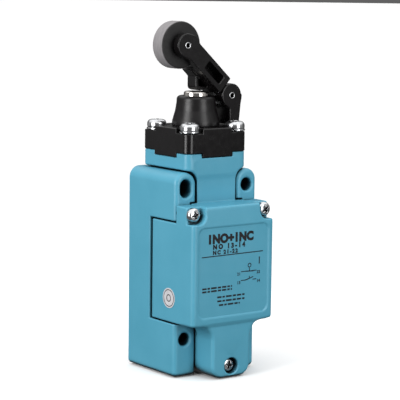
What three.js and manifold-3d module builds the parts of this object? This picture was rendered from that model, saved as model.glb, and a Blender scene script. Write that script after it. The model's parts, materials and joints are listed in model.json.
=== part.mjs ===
// A heavy-duty limit switch of the EN 50041 size with a top roller lever head.
// Millimetres, +Z up. The origin is the middle of the flat back that bolts to a machine, and the
// front of the switch faces -Y. "Depth" is the distance forward from that back, so y = -depth.

import * as THREE from "three";
import { mergeVertices } from "three/addons/utils/BufferGeometryUtils.js";
import Module from "manifold-3d";

const wasm = await Module();
wasm.setup();

// ---------------------------------------------------------------- driving dimensions

// Housing
const HALF_WIDTH = 20;
const BASE_DEPTH = 32.3;
const BASE_BOTTOM = -45;
const SHOULDER_TOP = 36.3;
const BACK_WALL = 3;
const MOUNT_HOLE = { x: 15, z: 30, radius: 2.65, slotTravel: 1, chamfer: 0.5 };
const PARTING = { baseDepth: 15, frontDepth: 16.6, top: 17.2, bottom: -23.3, gap: 0.3 };
const COVER_DEPTH = 44.2;
const COVER_TOP = 23.8;
const COVER_WALL = 2.6;
const COVER_CORNER = 1.8;
const TOP_STEP = 0.6;
const COVER_ROOM = { bottom: -20.4, top: 14.3 };
const PANEL = { half: 16.9, bottom: -19.6, top: 15.6, sunk: 0.3, corner: 2.6 };
const SCREW_POCKET = { inner: 13.4, bottom: 17.2, corner: 3.6, floor: 39.6 };
const TONGUE_HALF = 9.4;
const SHOULDER_ROUND = 5;
const FOOT = { half: 12.4, top: 23.9 };
const SIDE_GAP = 0.5;
const TONGUE_GAP = 0.4;
const BOSS = { half: 9.45, back: 26.3, front: 43.4, top: -21, corner: 5, blend: 6.5 };
const BOSS_ROOM = { half: 6.8, bottom: -34 };
const NECK = { half: 14.95, bottom: 36.8, top: 43.4, recessFloor: 41.6, recessHalf: 7.5, tab: 3 };
const CONDUIT = { depth: 12.6, radius: 9.3, top: -35 };
const CHAMBER = { half: 16.8, bottom: -20, top: 13.8 };
const BODY_GASKET = { half: 18.6, bottom: -22.3, top: 16.3, width: 2.8, fit: 0.15 };
const WIREWAY = { half: 9, front: 22 };
const HOLE_CLEARANCE = 0.2;

// Head
const AXIS_DEPTH = 17.76;
const NECK_BACK = AXIS_DEPTH - NECK.half;
const NECK_FRONT = AXIS_DEPTH + NECK.half - 0.16;
const HEAD = { top: 53.2, pocketFloor: 51.3, pocketRadius: 5.2, corner: 3, backCorner: 1.2, fit: 0.1 };
const FRONT_ROOM = { half: 7.2, back: 6.5, front: 29.5, bottom: 19.4, stemRadius: 2.4, screwBack: 20 };
const HEAD_WELL = { radius: 9.6, floor: 41.8 };
const HEAD_GASKET = { half: 9.4, width: 2, bottom: 41.95, top: 43.35 };
const HEAD_BORE = { radius: 7, counterbore: 8.3, counterboreTop: 44.6 };
const HEAD_SCREW = { offset: 11.2, headRadius: 3.9, headHeight: 2.9, shankRadius: 1.8, shank: 12 };
const HEAD_SCREW_HOLE_BOTTOM = 38.5;
const WASHER = { inner: 2.1, outer: 4.05, bottom: 0, top: 0.9 };
const TURRET = { base: 53.3, waist: 55, flare: 59.3, neck: 62.4, top: 65.2, round: 1.7 };
const TURRET_RADIUS = { low: 9.55, flare: 8.35, high: 7.8 };
const SPIGOT = { radius: 6.85, bottom: 52.6 };
const TURRET_BORE = { radius: 5.15, lower: 6, step: 60.3 };
const PLUNGER = { radius: 4.95, top: 66.9, flange: 50.8, flangeTop: 52.3, flangeRadius: 5.8, tip: 13.6 };
const SEAL = { inner: 5.07, outer: 5.9, bottom: 58.2, top: 60.1 };
const RETAINER = { inner: 2.2, outer: 8.1, bottom: 43.6, top: 44.4 };
const RETURN_SPRING = { radius: 4.2, wire: 0.45, low: 44.5, high: 50.7, turns: 3.5 };
const STEM = { radius: 1.9, pinRadius: 1.1, pinTop: 24 };

// Lever head: the pivot, the roller's axis, and widths counted forward from the head's centre
const PIVOT = { x: 12.7, z: 65.2 };
const ROLLER = { x: -9.4, z: 85.5, radius: 9.4, back: -4.1, front: 2.6 };
const ROLLER_FACE = { hub: 2.6, groove: 4.2, sunk: 0.9, edge: 0.7 };
const CHEEK = { front: 7, back: 3.6, upper: 4.6, lower: -3.1, end: 25, round: 4.7 };
const LEVER_BACK = -4.4;
const HUB = { radius: 4.4, front: 2.8 };
const PRESSER = { left: -1.1, front: 1.4, lowest: 67.2, round: 3.5, middle: 1.2 };
const EAR = { radius: 4.8, frontGap: 3.1, backGap: -4.7, back: -7, armLeft: 11.8, armRight: 16.8 };
const HUB_ROOM = { radius: 5.1, open: 62.2 };
const RIVET_RADIUS = 1.25;
const RIVET = { headRadius: 2.3, headHeight: 0.6, bore: 0.8, boreDepth: 2.2 };

// Cover screws
const COVER_SCREW_PLACE = { x: 17.3, z: 20.8, seat: 39.65, tip: 21.6 };
const COVER_SCREW = { headRadius: 2.85, headHeight: 2.2, shankRadius: 1.6 };
const LOWER_SCREW = { z: -40.4, tip: 23 };

// Contact block
const BLOCK = { half: 12.5, back: 5, front: 30, bottom: -18.5, top: 12.8 };
const BLOCK_CAVITY = { half: 10.2, front: 22, bottom: -16.5, top: 10 };
const LUG = { x: 14.6, z: -3, holeRadius: 1.4 };
const CONTACT_STRIP = { inner: 6.2, outer: 9.7, thickness: 0.8 };
const NORMALLY_CLOSED = { stripLow: 7, bridgeLow: 6.1 };
const NORMALLY_OPEN = { stripLow: -10, bridgeLow: -6.2 };
const CONTACT_SPRING = { radius: 1.6, wire: 0.25, low: -16.3, high: -9.2, turns: 4 };
const TERMINAL = { x: 8.2, half: 3.2, drop: 3.2, holeRadius: 1.7 };

// ---------------------------------------------------------------- materials

function finish(color, roughness, metalness = 0) {
  return new THREE.MeshStandardMaterial({ color, roughness, metalness });
}

const teal = finish(0x4f9bb8, 0.45);
const black = finish(0x1d1b1d, 0.5);
const nylon = finish(0x2a282a, 0.6);
const rubber = finish(0x101012, 0.9);
const zinc = finish(0xd5d6d4, 0.25, 1);
const brass = finish(0xc9a75c, 0.3, 1);
const moulding = finish(0x26231f, 0.7);
const white = finish(0xf2f2f0, 0.6);

// ---------------------------------------------------------------- shape helpers

function solid(geometry) {
  geometry.deleteAttribute("normal");
  geometry.deleteAttribute("uv");
  const merged = mergeVertices(geometry, 1e-4);
  const vertProperties = merged.attributes.position.array;
  const triVerts = new Uint32Array(merged.index.array);
  const made = new wasm.Manifold(new wasm.Mesh({ numProp: 3, vertProperties, triVerts }));
  if (made.volume() > 0) return made;
  triVerts.reverse(); // a mirrored outline comes out facing inwards
  return new wasm.Manifold(new wasm.Mesh({ numProp: 3, vertProperties, triVerts }));
}

function extrusion(outline, from, to, curveSegments) {
  const options = { depth: to - from, bevelEnabled: false, curveSegments };
  return new THREE.ExtrudeGeometry(outline, options).translate(0, 0, from);
}

// An outline in X and Z, extruded forward between two depths.
function forward(outline, from, to, curveSegments = 2) {
  return solid(extrusion(outline, from, to, curveSegments).rotateX(Math.PI / 2));
}

// An outline in X and depth, extruded upward between two heights.
function upward(outline, from, to, curveSegments = 2) {
  return solid(extrusion(outline, from, to, curveSegments).scale(1, -1, 1));
}

// A profile of [radius, height] points turned about a vertical axis.
function turnedUp(profile, segments, x = 0, depth = AXIS_DEPTH) {
  const points = profile.map(([radius, height]) => new THREE.Vector2(radius, height));
  return solid(new THREE.LatheGeometry(points, segments).rotateX(Math.PI / 2).translate(x, -depth, 0));
}

// A profile of [radius, depth] points turned about an axis that runs forward.
function turnedForward(profile, segments, x, z) {
  const points = profile.map(([radius, depth]) => new THREE.Vector2(radius, depth));
  return solid(new THREE.LatheGeometry(points, segments).scale(1, -1, 1).translate(x, 0, z));
}

function box(x, depth, z) {
  const size = [x, depth, z].map(([low, high]) => high - low);
  const middle = [x, depth, z].map(([low, high]) => (low + high) / 2);
  return solid(new THREE.BoxGeometry(...size).translate(middle[0], -middle[1], middle[2]));
}

function rounded(left, right, low, high, radius) {
  const corners = Array.isArray(radius) ? radius : [radius, radius, radius, radius];
  const [lowLeft, lowRight, highRight, highLeft] = corners;
  const outline = new THREE.Shape();
  outline.moveTo(left + lowLeft, low);
  outline.lineTo(right - lowRight, low);
  if (lowRight) outline.absarc(right - lowRight, low + lowRight, lowRight, -Math.PI / 2, 0);
  outline.lineTo(right, high - highRight);
  if (highRight) outline.absarc(right - highRight, high - highRight, highRight, 0, Math.PI / 2);
  outline.lineTo(left + highLeft, high);
  if (highLeft) outline.absarc(left + highLeft, high - highLeft, highLeft, Math.PI / 2, Math.PI);
  outline.lineTo(left, low + lowLeft);
  if (lowLeft) outline.absarc(left + lowLeft, low + lowLeft, lowLeft, Math.PI, 1.5 * Math.PI);
  return outline;
}

function polygon(points) {
  return new THREE.Shape(points.map(([x, y]) => new THREE.Vector2(x, y)));
}

function disc(x, y, radius) {
  return new THREE.Shape().absarc(x, y, radius, 0, 2 * Math.PI);
}

function rod(radius, from, to, x, z, segments = 12) {
  return turnedForward([[0, from], [radius, from], [radius, to], [0, to]], segments, x, z);
}

function post(radius, from, to, x = 0, depth = AXIS_DEPTH, segments = 12) {
  return turnedUp([[0, from], [radius, from], [radius, to], [0, to]], segments, x, depth);
}

function union(pieces) {
  return pieces.reduce((whole, piece) => whole.add(piece));
}

function cut(whole, tools) {
  return tools.reduce((rest, tool) => rest.subtract(tool), whole);
}

function geometryOf(shape) {
  const { vertProperties, triVerts } = shape.getMesh();
  const geometry = new THREE.BufferGeometry();
  geometry.setAttribute("position", new THREE.BufferAttribute(vertProperties, 3));
  geometry.setIndex(new THREE.BufferAttribute(triVerts, 1));
  geometry.computeVertexNormals();
  return geometry;
}

const limitSwitch = new THREE.Group();

function add(name, shape, material) {
  const geometry = shape.isBufferGeometry ? shape : geometryOf(shape);
  const mesh = new THREE.Mesh(geometry, material);
  mesh.name = name;
  limitSwitch.add(mesh);
  return mesh;
}

const SIDES = [-1, 1];
const CORNERS = SIDES.flatMap((across) => SIDES.map((along) => [across, along]));

// ---------------------------------------------------------------- base housing

// A vertical slot through the base, or a round hole where it has no travel, with a chamfered mouth
function mountingHole(x, z, slotTravel) {
  const { radius, chamfer } = MOUNT_HOLE;
  const slot = (r) => rounded(x - r, x + r, z - r - slotTravel, z + r + slotTravel, r);
  const through = forward(slot(radius), -1, BASE_DEPTH + 1);
  return through.add(forward(slot(radius + chamfer), BASE_DEPTH - chamfer, BASE_DEPTH + 1));
}

function baseHousing() {
  const outer = rounded(-HALF_WIDTH, HALF_WIDTH, BASE_BOTTOM, SHOULDER_TOP, [2, 2, 4.5, 4.5]);
  const slotHalf = TONGUE_HALF + SIDE_GAP;
  const notchTop = PARTING.top + PARTING.gap;
  const notchBottom = PARTING.bottom - PARTING.gap;
  const beyond = HALF_WIDTH + 1;
  const front = BASE_DEPTH + 1;
  const { half, bottom, top } = CHAMBER;
  const screwHole = (x, z, back) => rod(COVER_SCREW.shankRadius + HOLE_CLEARANCE, back, front, x, z);
  // The slot for the neck's tongue: its upper edges round off towards the mounting ears.
  const slot = new THREE.Shape();
  const round = SHOULDER_ROUND;
  slot.moveTo(-slotHalf, notchTop - 1);
  slot.lineTo(slotHalf, notchTop - 1);
  slot.lineTo(slotHalf, SHOULDER_TOP - round);
  slot.absarc(slotHalf + round, SHOULDER_TOP - round, round, Math.PI, Math.PI / 2, true);
  slot.lineTo(slotHalf + round, SHOULDER_TOP + 1);
  slot.lineTo(-slotHalf - round, SHOULDER_TOP + 1);
  slot.absarc(-slotHalf - round, SHOULDER_TOP - round, round, Math.PI / 2, 0, true);
  const footHalf = FOOT.half + SIDE_GAP;
  const tools = [
    forward(slot, BACK_WALL, front),
    box([-footHalf, footHalf], [AXIS_DEPTH, front], [notchTop - 1, FOOT.top + SIDE_GAP]),
    box([-beyond, beyond], [PARTING.baseDepth, front], [notchBottom, notchTop]),
    box([-half, half], [BACK_WALL, front], [bottom, top]),
    box([-WIREWAY.half, WIREWAY.half], [BACK_WALL, WIREWAY.front], [CONDUIT.top - 1, bottom + 1]),
    box([-slotHalf, slotHalf], [BOSS.back - PARTING.gap, front], [BASE_BOTTOM - 1, notchBottom + 1]),
    post(CONDUIT.radius, BASE_BOTTOM - 1, CONDUIT.top, 0, CONDUIT.depth, 28),
    mountingHole(-MOUNT_HOLE.x, MOUNT_HOLE.z, MOUNT_HOLE.slotTravel),
    mountingHole(MOUNT_HOLE.x, MOUNT_HOLE.z, 0),
    mountingHole(-MOUNT_HOLE.x, -MOUNT_HOLE.z, 0),
    mountingHole(MOUNT_HOLE.x, -MOUNT_HOLE.z, 0),
    screwHole(-COVER_SCREW_PLACE.x, COVER_SCREW_PLACE.z, COVER_SCREW_PLACE.tip - 1),
    screwHole(COVER_SCREW_PLACE.x, COVER_SCREW_PLACE.z, COVER_SCREW_PLACE.tip - 1),
    screwHole(0, LOWER_SCREW.z, LOWER_SCREW.tip - 1),
  ];
  return cut(forward(outer, 0, BASE_DEPTH), tools);
}

add("base_housing", baseHousing(), teal);

// ---------------------------------------------------------------- front housing

function coverBox() {
  const low = PARTING.bottom + PARTING.gap;
  const sideTop = PARTING.top - PARTING.gap;
  const corners = [0, 0, COVER_CORNER, COVER_CORNER];
  const plan = (back, front) => rounded(-HALF_WIDTH, HALF_WIDTH, back, front, corners);
  const wide = upward(plan(PARTING.frontDepth, COVER_DEPTH), low, sideTop);
  const upper = upward(plan(BASE_DEPTH + PARTING.gap, COVER_DEPTH - TOP_STEP), sideTop - 0.5, COVER_TOP);
  const { inner, bottom, corner } = SCREW_POCKET;
  const pockets = [
    rounded(inner, HALF_WIDTH + 1, bottom, COVER_TOP + 1, [corner, 0, 0, 0]),
    rounded(-HALF_WIDTH - 1, -inner, bottom, COVER_TOP + 1, [0, corner, 0, 0]),
  ].map((outline) => forward(outline, SCREW_POCKET.floor, COVER_DEPTH + 1));
  const panel = rounded(-PANEL.half, PANEL.half, PANEL.bottom, PANEL.top, PANEL.corner);
  return cut(wide.add(upper), [...pockets, forward(panel, COVER_DEPTH - PANEL.sunk, COVER_DEPTH + 1)]);
}

// The outline in X and depth that the neck and the head share
function headPlan() {
  const { corner, backCorner } = HEAD;
  return rounded(-NECK.half, NECK.half, NECK_BACK, NECK_FRONT, [backCorner, backCorner, corner, corner]);
}

function neckBlock() {
  const { half, bottom, top, recessFloor, recessHalf, tab } = NECK;
  const block = upward(headPlan(), bottom, top);
  const tongueBottom = PARTING.top - PARTING.gap;
  const tongueBack = BACK_WALL + TONGUE_GAP;
  const tongue = box([-TONGUE_HALF, TONGUE_HALF], [tongueBack, BASE_DEPTH], [tongueBottom, bottom + 1]);
  const round = SHOULDER_ROUND - SIDE_GAP;
  // The tongue widens under the neck to follow the rounded ears.
  const flare = new THREE.Shape();
  const turn = bottom - round;
  flare.moveTo(-TONGUE_HALF, turn);
  flare.lineTo(TONGUE_HALF, turn);
  flare.absarc(TONGUE_HALF + round, turn, round, Math.PI, Math.PI / 2, true);
  flare.lineTo(TONGUE_HALF + round, bottom + 1);
  flare.lineTo(-TONGUE_HALF - round, bottom + 1);
  flare.absarc(-TONGUE_HALF - round, turn, round, Math.PI / 2, 0, true);
  const footDepths = [AXIS_DEPTH + TONGUE_GAP, BASE_DEPTH + 1];
  const foot = box([-FOOT.half, FOOT.half], footDepths, [tongueBottom - 1, FOOT.top]);
  const across = [AXIS_DEPTH - recessHalf, AXIS_DEPTH + recessHalf];
  const height = [recessFloor, top + 1];
  const recesses = [
    box([-recessHalf, recessHalf], [NECK_FRONT - tab, NECK_FRONT + 1], height),
    box([-recessHalf, recessHalf], [NECK_BACK - 1, NECK_BACK + tab], height),
    box([half - tab, half + 1], across, height),
    box([-half - 1, tab - half], across, height),
  ];
  const whole = union([block, tongue, forward(flare, tongueBack, BASE_DEPTH), foot]);
  return cut(whole, recesses);
}

function lowerBoss() {
  const { half, back, front, top, corner, blend } = BOSS;
  const outline = new THREE.Shape();
  const joinZ = PARTING.bottom + PARTING.gap;
  outline.moveTo(-half + corner, BASE_BOTTOM);
  outline.lineTo(half - corner, BASE_BOTTOM);
  outline.absarc(half - corner, BASE_BOTTOM + corner, corner, -Math.PI / 2, 0);
  outline.lineTo(half, top);
  outline.lineTo(-half, top);
  outline.lineTo(-half, BASE_BOTTOM + corner);
  outline.absarc(-half + corner, BASE_BOTTOM + corner, corner, Math.PI, 1.5 * Math.PI);
  // Concave fillets where the boss meets the underside of the cover box, in front of the ears
  const fillet = new THREE.Shape();
  fillet.moveTo(-half - blend, joinZ + 0.5);
  fillet.lineTo(-half - blend, joinZ);
  fillet.absarc(-half - blend, joinZ - blend, blend, Math.PI / 2, 0, true);
  fillet.lineTo(half, joinZ - blend);
  fillet.absarc(half + blend, joinZ - blend, blend, Math.PI, Math.PI / 2, true);
  fillet.lineTo(half + blend, joinZ + 0.5);
  return forward(outline, back, front).add(forward(fillet, BASE_DEPTH + 2 * PARTING.gap, front));
}

// The depths and widths of the four head screws, as [x, depth]
function headScrewPlaces() {
  const { offset } = HEAD_SCREW;
  return CORNERS.map(([across, along]) => [across * offset, AXIS_DEPTH + along * offset]);
}

function frontHousing() {
  const inner = HALF_WIDTH - COVER_WALL;
  const { x, z } = COVER_SCREW_PLACE;
  const screwHole = (holeX, holeZ) =>
    rod(COVER_SCREW.shankRadius + HOLE_CLEARANCE, FRONT_ROOM.screwBack, COVER_DEPTH, holeX, holeZ);
  const { half, back, front, bottom, stemRadius } = FRONT_ROOM;
  const { radius, floor } = HEAD_WELL;
  const well = [AXIS_DEPTH - radius, AXIS_DEPTH + radius];
  const coverRoom = [PARTING.frontDepth - 1, COVER_DEPTH - COVER_WALL];
  const bossRoom = [BOSS.back - 1, BOSS.front - COVER_WALL];
  const tools = [
    box([-inner, inner], coverRoom, [COVER_ROOM.bottom, COVER_ROOM.top]),
    box([-BOSS_ROOM.half, BOSS_ROOM.half], bossRoom, [BOSS_ROOM.bottom, CHAMBER.bottom]),
    box([-half, half], [back, front], [bottom, NECK.top + 1]),
    box([-radius, radius], well, [floor, NECK.top + 1]),
    post(stemRadius, COVER_ROOM.top - 1.3, bottom + 0.6),
    rod(COVER_SCREW.headRadius + 0.45, SCREW_POCKET.floor, COVER_DEPTH, 0, LOWER_SCREW.z, 20),
    screwHole(0, LOWER_SCREW.z),
    screwHole(x, z),
    screwHole(-x, z),
    ...headScrewPlaces().map(([screwX, depth]) =>
      post(HEAD_SCREW.shankRadius + HOLE_CLEARANCE, HEAD_SCREW_HOLE_BOTTOM, NECK.top + 1, screwX, depth, 10),
    ),
  ];
  return cut(union([coverBox(), neckBlock(), lowerBoss()]), tools);
}

add("front_housing", frontHousing(), teal);

function bodyGasket() {
  const { half, bottom, top, width, fit } = BODY_GASKET;
  const outer = rounded(-half, half, bottom, top, 2);
  const inner = rounded(width - half, half - width, bottom + width, top - width, 1.5);
  const from = PARTING.baseDepth + fit;
  const to = PARTING.frontDepth - fit;
  return forward(outer, from, to).subtract(forward(inner, from - 1, to + 1));
}

add("body_gasket", bodyGasket(), rubber);

// ---------------------------------------------------------------- screws

// A cross-recessed pan head screw whose head stands above z = 0
function panScrew({ headRadius, headHeight, shankRadius }, shankLength) {
  const rim = headHeight * 0.45;
  const profile = [
    [0, -shankLength],
    [shankRadius, -shankLength],
    [shankRadius, 0],
    [headRadius, 0],
    [headRadius, rim],
    [headRadius * 0.82, headHeight * 0.85],
    [headRadius * 0.45, headHeight],
    [0, headHeight],
  ];
  const head = turnedUp(profile, 12, 0, 0);
  const arm = headRadius * 0.5;
  const half = headRadius * 0.12;
  const floor = headHeight * 0.45;
  const slots = [
    box([-arm, arm], [-half, half], [floor, headHeight + 1]),
    box([-half, half], [-arm, arm], [floor, headHeight + 1]),
  ];
  return geometryOf(cut(head, slots));
}

function facingForward(mesh, x, depth, z) {
  mesh.rotation.x = Math.PI / 2;
  mesh.position.set(x, -depth, z);
}

const { x: screwX, z: screwZ, seat: screwSeat } = COVER_SCREW_PLACE;
const coverScrew = panScrew(COVER_SCREW, screwSeat - COVER_SCREW_PLACE.tip);
const lowerScrew = panScrew(COVER_SCREW, screwSeat - LOWER_SCREW.tip);
facingForward(add("cover_screw_left", coverScrew, zinc), -screwX, screwSeat, screwZ);
facingForward(add("cover_screw_right", coverScrew, zinc), screwX, screwSeat, screwZ);
facingForward(add("cover_screw_lower", lowerScrew, zinc), 0, screwSeat, LOWER_SCREW.z);

// ---------------------------------------------------------------- head

// The post at the right of the head, forked at its top for the lever's hub
function clevis() {
  const [back, front] = [AXIS_DEPTH + EAR.back, AXIS_DEPTH + CHEEK.front];
  const [roomBack, roomFront] = [AXIS_DEPTH + EAR.backGap, AXIS_DEPTH + EAR.frontGap];
  const foot = HEAD.pocketFloor + 0.02;
  const arm = polygon([
    [EAR.armLeft, foot],
    [EAR.armRight - 0.5, foot],
    [EAR.armRight + 0.5, PIVOT.z - 2.5],
    [EAR.armLeft, PIVOT.z - 4],
  ]);
  const eye = forward(disc(PIVOT.x, PIVOT.z, EAR.radius), back, front, 12);
  const reach = 2 * EAR.radius;
  return cut(forward(arm, back, front).add(eye), [
    forward(disc(PIVOT.x, PIVOT.z, HUB_ROOM.radius), roomBack, roomFront, 12),
    box([PIVOT.x - reach, PIVOT.x + reach], [roomBack, roomFront], [HUB_ROOM.open, PIVOT.z + reach]),
  ]);
}

function headBody() {
  const { top, pocketFloor, pocketRadius, fit } = HEAD;
  const { half, recessFloor, recessHalf, tab } = NECK;
  const bottom = NECK.top + fit;
  const flange = upward(headPlan(), bottom, top);
  const tabHalf = recessHalf - 2 * fit;
  const tabDepth = tab - 2 * fit;
  const across = [AXIS_DEPTH - tabHalf, AXIS_DEPTH + tabHalf];
  const height = [recessFloor + fit, bottom + 1];
  const tabs = [
    box([-tabHalf, tabHalf], [NECK_FRONT - tabDepth, NECK_FRONT], height),
    box([-tabHalf, tabHalf], [NECK_BACK, NECK_BACK + tabDepth], height),
    box([half - tabDepth, half], across, height),
    box([-half, tabDepth - half], across, height),
  ];
  const pockets = headScrewPlaces().map(([x, depth]) =>
    post(pocketRadius, pocketFloor, top + 1, x, depth, 20),
  );
  const screwHoles = headScrewPlaces().map(([x, depth]) =>
    post(HEAD_SCREW.shankRadius + HOLE_CLEARANCE, bottom - 1, top, x, depth, 10),
  );
  const { radius, counterbore, counterboreTop } = HEAD_BORE;
  const bores = [
    post(radius, bottom - 1, top + 1, 0, AXIS_DEPTH, 24),
    post(counterbore, bottom - 3, counterboreTop, 0, AXIS_DEPTH, 24),
  ];
  const body = cut(union([flange, ...tabs]), [...pockets, ...bores]);
  const pinHole = rod(RIVET_RADIUS + 0.1, 0, 2 * AXIS_DEPTH, PIVOT.x, PIVOT.z);
  return cut(body.add(clevis()), [...screwHoles, pinHole]);
}

add("head_body", headBody(), black);

function headGasket() {
  const { half, width, bottom, top } = HEAD_GASKET;
  const square = (side, corner) => rounded(-side, side, AXIS_DEPTH - side, AXIS_DEPTH + side, corner);
  const hole = upward(square(half - width, 1.5), bottom - 1, top + 1);
  return upward(square(half, 2), bottom, top).subtract(hole);
}

add("head_gasket", headGasket(), rubber);

// A flat ring from its lower to its upper height
function ring({ inner, outer, bottom, top }, segments, depth = AXIS_DEPTH) {
  const profile = [
    [inner, bottom],
    [outer, bottom],
    [outer, top],
    [inner, top],
    [inner, bottom],
  ];
  return turnedUp(profile, segments, 0, depth);
}

const headScrew = panScrew(HEAD_SCREW, HEAD_SCREW.shank);
const springWasher = geometryOf(ring(WASHER, 14, 0));
headScrewPlaces().forEach(([x, depth], index) => {
  const seat = HEAD.pocketFloor + 0.05;
  add(`head_screw_${index + 1}`, headScrew, zinc).position.set(x, -depth, seat + WASHER.top + 0.05);
  add(`head_washer_${index + 1}`, springWasher, zinc).position.set(x, -depth, seat);
});

function guideTurret() {
  const { base, waist, flare, neck, top, round } = TURRET;
  const { low, flare: middle, high } = TURRET_RADIUS;
  const { radius, lower, step } = TURRET_BORE;
  const shoulder = [0, 1, 2, 3].map((index) => {
    const angle = (index / 3) * (Math.PI / 2);
    return [high - round + round * Math.cos(angle), top - round + round * Math.sin(angle)];
  });
  const profile = [
    [lower, SPIGOT.bottom],
    [SPIGOT.radius, SPIGOT.bottom],
    [SPIGOT.radius, base],
    [low, base],
    [low, waist],
    [middle, flare],
    [high, neck],
    ...shoulder,
    [radius, top],
    [radius, step],
    [lower, step],
    [lower, SPIGOT.bottom],
  ];
  return turnedUp(profile, 28);
}

add("guide_turret", guideTurret(), black);
add("plunger_seal", ring(SEAL, 20), rubber);

function plunger() {
  const { radius, top, flange, flangeTop, flangeRadius, tip } = PLUNGER;
  const profile = [
    [0, tip],
    [STEM.pinRadius, tip],
    [STEM.pinRadius, STEM.pinTop],
    [STEM.radius, STEM.pinTop + 1],
    [STEM.radius, flange],
    [flangeRadius, flange],
    [flangeRadius, flangeTop],
    [radius, flangeTop],
    [radius, top - 0.5],
    [radius - 0.5, top],
    [0, top],
  ];
  return turnedUp(profile, 20);
}

add("plunger", plunger(), zinc);
add("spring_retainer", ring(RETAINER, 20), zinc);

// ---------------------------------------------------------------- springs

// A compression spring about a vertical axis at the plunger's depth.
function spring({ radius, wire, low, high, turns }) {
  class Helix extends THREE.Curve {
    getPoint(t, target = new THREE.Vector3()) {
      const angle = 2 * Math.PI * turns * t;
      const z = low + wire + (high - low - 2 * wire) * t;
      return target.set(radius * Math.cos(angle), radius * Math.sin(angle) - AXIS_DEPTH, z);
    }
  }
  const section = new THREE.Shape().absarc(0, 0, wire, 0, 2 * Math.PI);
  const options = { steps: Math.round(turns * 9), extrudePath: new Helix(), curveSegments: 3 };
  return solid(new THREE.ExtrudeGeometry(section, options));
}

add("return_spring", spring(RETURN_SPRING), zinc);

// ---------------------------------------------------------------- lever

const reach = Math.hypot(PIVOT.x - ROLLER.x, PIVOT.z - ROLLER.z);
const slope = Math.atan2(PIVOT.z - ROLLER.z, PIVOT.x - ROLLER.x);

// A place on the lever: "along" counts from the roller's axis to the pivot, "above" square to that.
function onLever(along, above) {
  const x = ROLLER.x + along * Math.cos(slope) - above * Math.sin(slope);
  return [x, ROLLER.z + along * Math.sin(slope) + above * Math.cos(slope)];
}

function roundEnded(radius, start) {
  const { upper, lower, end } = CHEEK;
  const outline = new THREE.Shape();
  outline.moveTo(...onLever(end, lower));
  outline.lineTo(...onLever(end, upper));
  const upperAngle = slope + Math.asin(upper / radius);
  const lowerAngle = slope + Math.asin(lower / radius);
  if (start === "convex") {
    outline.absarc(ROLLER.x, ROLLER.z, radius, upperAngle, lowerAngle + 2 * Math.PI, false);
  } else {
    outline.absarc(ROLLER.x, ROLLER.z, radius, upperAngle, lowerAngle, true);
  }
  return outline;
}

function presserOutline() {
  const { left, lowest, round } = PRESSER;
  const centre = { x: PRESSER.middle, z: lowest + round };
  const from = -Math.PI / 2 + Math.asin((left - centre.x) / round);
  const to = -Math.PI / 2 + Math.asin(1.3 / round);
  const outline = new THREE.Shape();
  outline.moveTo(...onLever(11, CHEEK.lower + 1));
  outline.lineTo(...onLever(10.6, CHEEK.lower - 0.6));
  outline.lineTo(left, 72.6);
  outline.absarc(centre.x, centre.z, round, from, to);
  outline.lineTo(5, 68.05);
  outline.lineTo(7.2, 67.3);
  outline.lineTo(PIVOT.x - HUB.radius + 0.02, PIVOT.z);
  outline.lineTo(...onLever(26, 0));
  return outline;
}

function lever() {
  const at = (t) => AXIS_DEPTH + t;
  const cheek = forward(roundEnded(CHEEK.round, "convex"), at(CHEEK.back), at(CHEEK.front), 9);
  const body = forward(roundEnded(ROLLER.radius + 1, "concave"), at(LEVER_BACK), at(CHEEK.back + 0.5), 4);
  const spacer = rod(2.4, at(ROLLER.front + 0.15), at(CHEEK.back + 0.5), ROLLER.x, ROLLER.z);
  const hub = forward(disc(PIVOT.x, PIVOT.z, HUB.radius), at(LEVER_BACK), at(HUB.front), 12);
  const web = polygon([
    onLever(20, CHEEK.lower),
    onLever(reach, CHEEK.lower),
    onLever(reach, CHEEK.upper - 0.8),
    onLever(20, CHEEK.upper - 0.8),
  ]);
  const presser = forward(presserOutline(), at(LEVER_BACK), at(PRESSER.front), 3);
  const pocket = polygon([onLever(12.3, -1), onLever(22, -1), onLever(22, 2.7), onLever(12.3, 2.7)]);
  const recess = polygon([[0.3, 69.1], [4.4, 68.6], onLever(17.4, CHEEK.lower), [0.3, 71.8]]);
  const whole = union([cheek, body, spacer, hub, forward(web, at(LEVER_BACK), at(HUB.front)), presser]);
  return cut(whole, [
    forward(pocket, at(1.5), at(CHEEK.front + 1)),
    forward(recess, at(-2.8), at(PRESSER.front + 1)),
    rod(RIVET_RADIUS + 0.1, at(-10), at(10), PIVOT.x, PIVOT.z),
    rod(RIVET_RADIUS + 0.1, at(0), at(10), ROLLER.x, ROLLER.z),
  ]);
}

add("lever", lever(), black);

function roller() {
  const { radius, back, front, x, z } = ROLLER;
  const [a, b] = [AXIS_DEPTH + back, AXIS_DEPTH + front];
  const { hub, groove, sunk, edge } = ROLLER_FACE;
  const hole = RIVET_RADIUS + 0.15;
  const profile = [
    [hole, a],
    [hub, a],
    [hub + 0.2, a + sunk],
    [groove - 0.3, a + sunk],
    [groove, a],
    [radius - edge, a],
    [radius, a + edge],
    [radius, b - edge],
    [radius - edge, b],
    [groove, b],
    [groove - 0.3, b - sunk],
    [hub + 0.2, b - sunk],
    [hub, b],
    [hole, b],
    [hole, a],
  ];
  return turnedForward(profile, 32, x, z);
}

add("roller", roller(), nylon);

// A hollow rivet that runs forward, with a flat head at the back and a rolled open end in front.
function hollowRivet(back, front, x, z) {
  const [a, b] = [AXIS_DEPTH + back, AXIS_DEPTH + front];
  const profile = [
    [0, a - RIVET.headHeight],
    [RIVET.headRadius, a - RIVET.headHeight],
    [RIVET.headRadius, a - 0.1],
    [RIVET_RADIUS, a - 0.1],
    [RIVET_RADIUS, b],
    [RIVET_RADIUS - 0.15, b + 0.2],
    [RIVET.bore, b + 0.2],
    [RIVET.bore, b - RIVET.boreDepth],
    [0, b - RIVET.boreDepth],
  ];
  return turnedForward(profile, 12, x, z);
}

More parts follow.
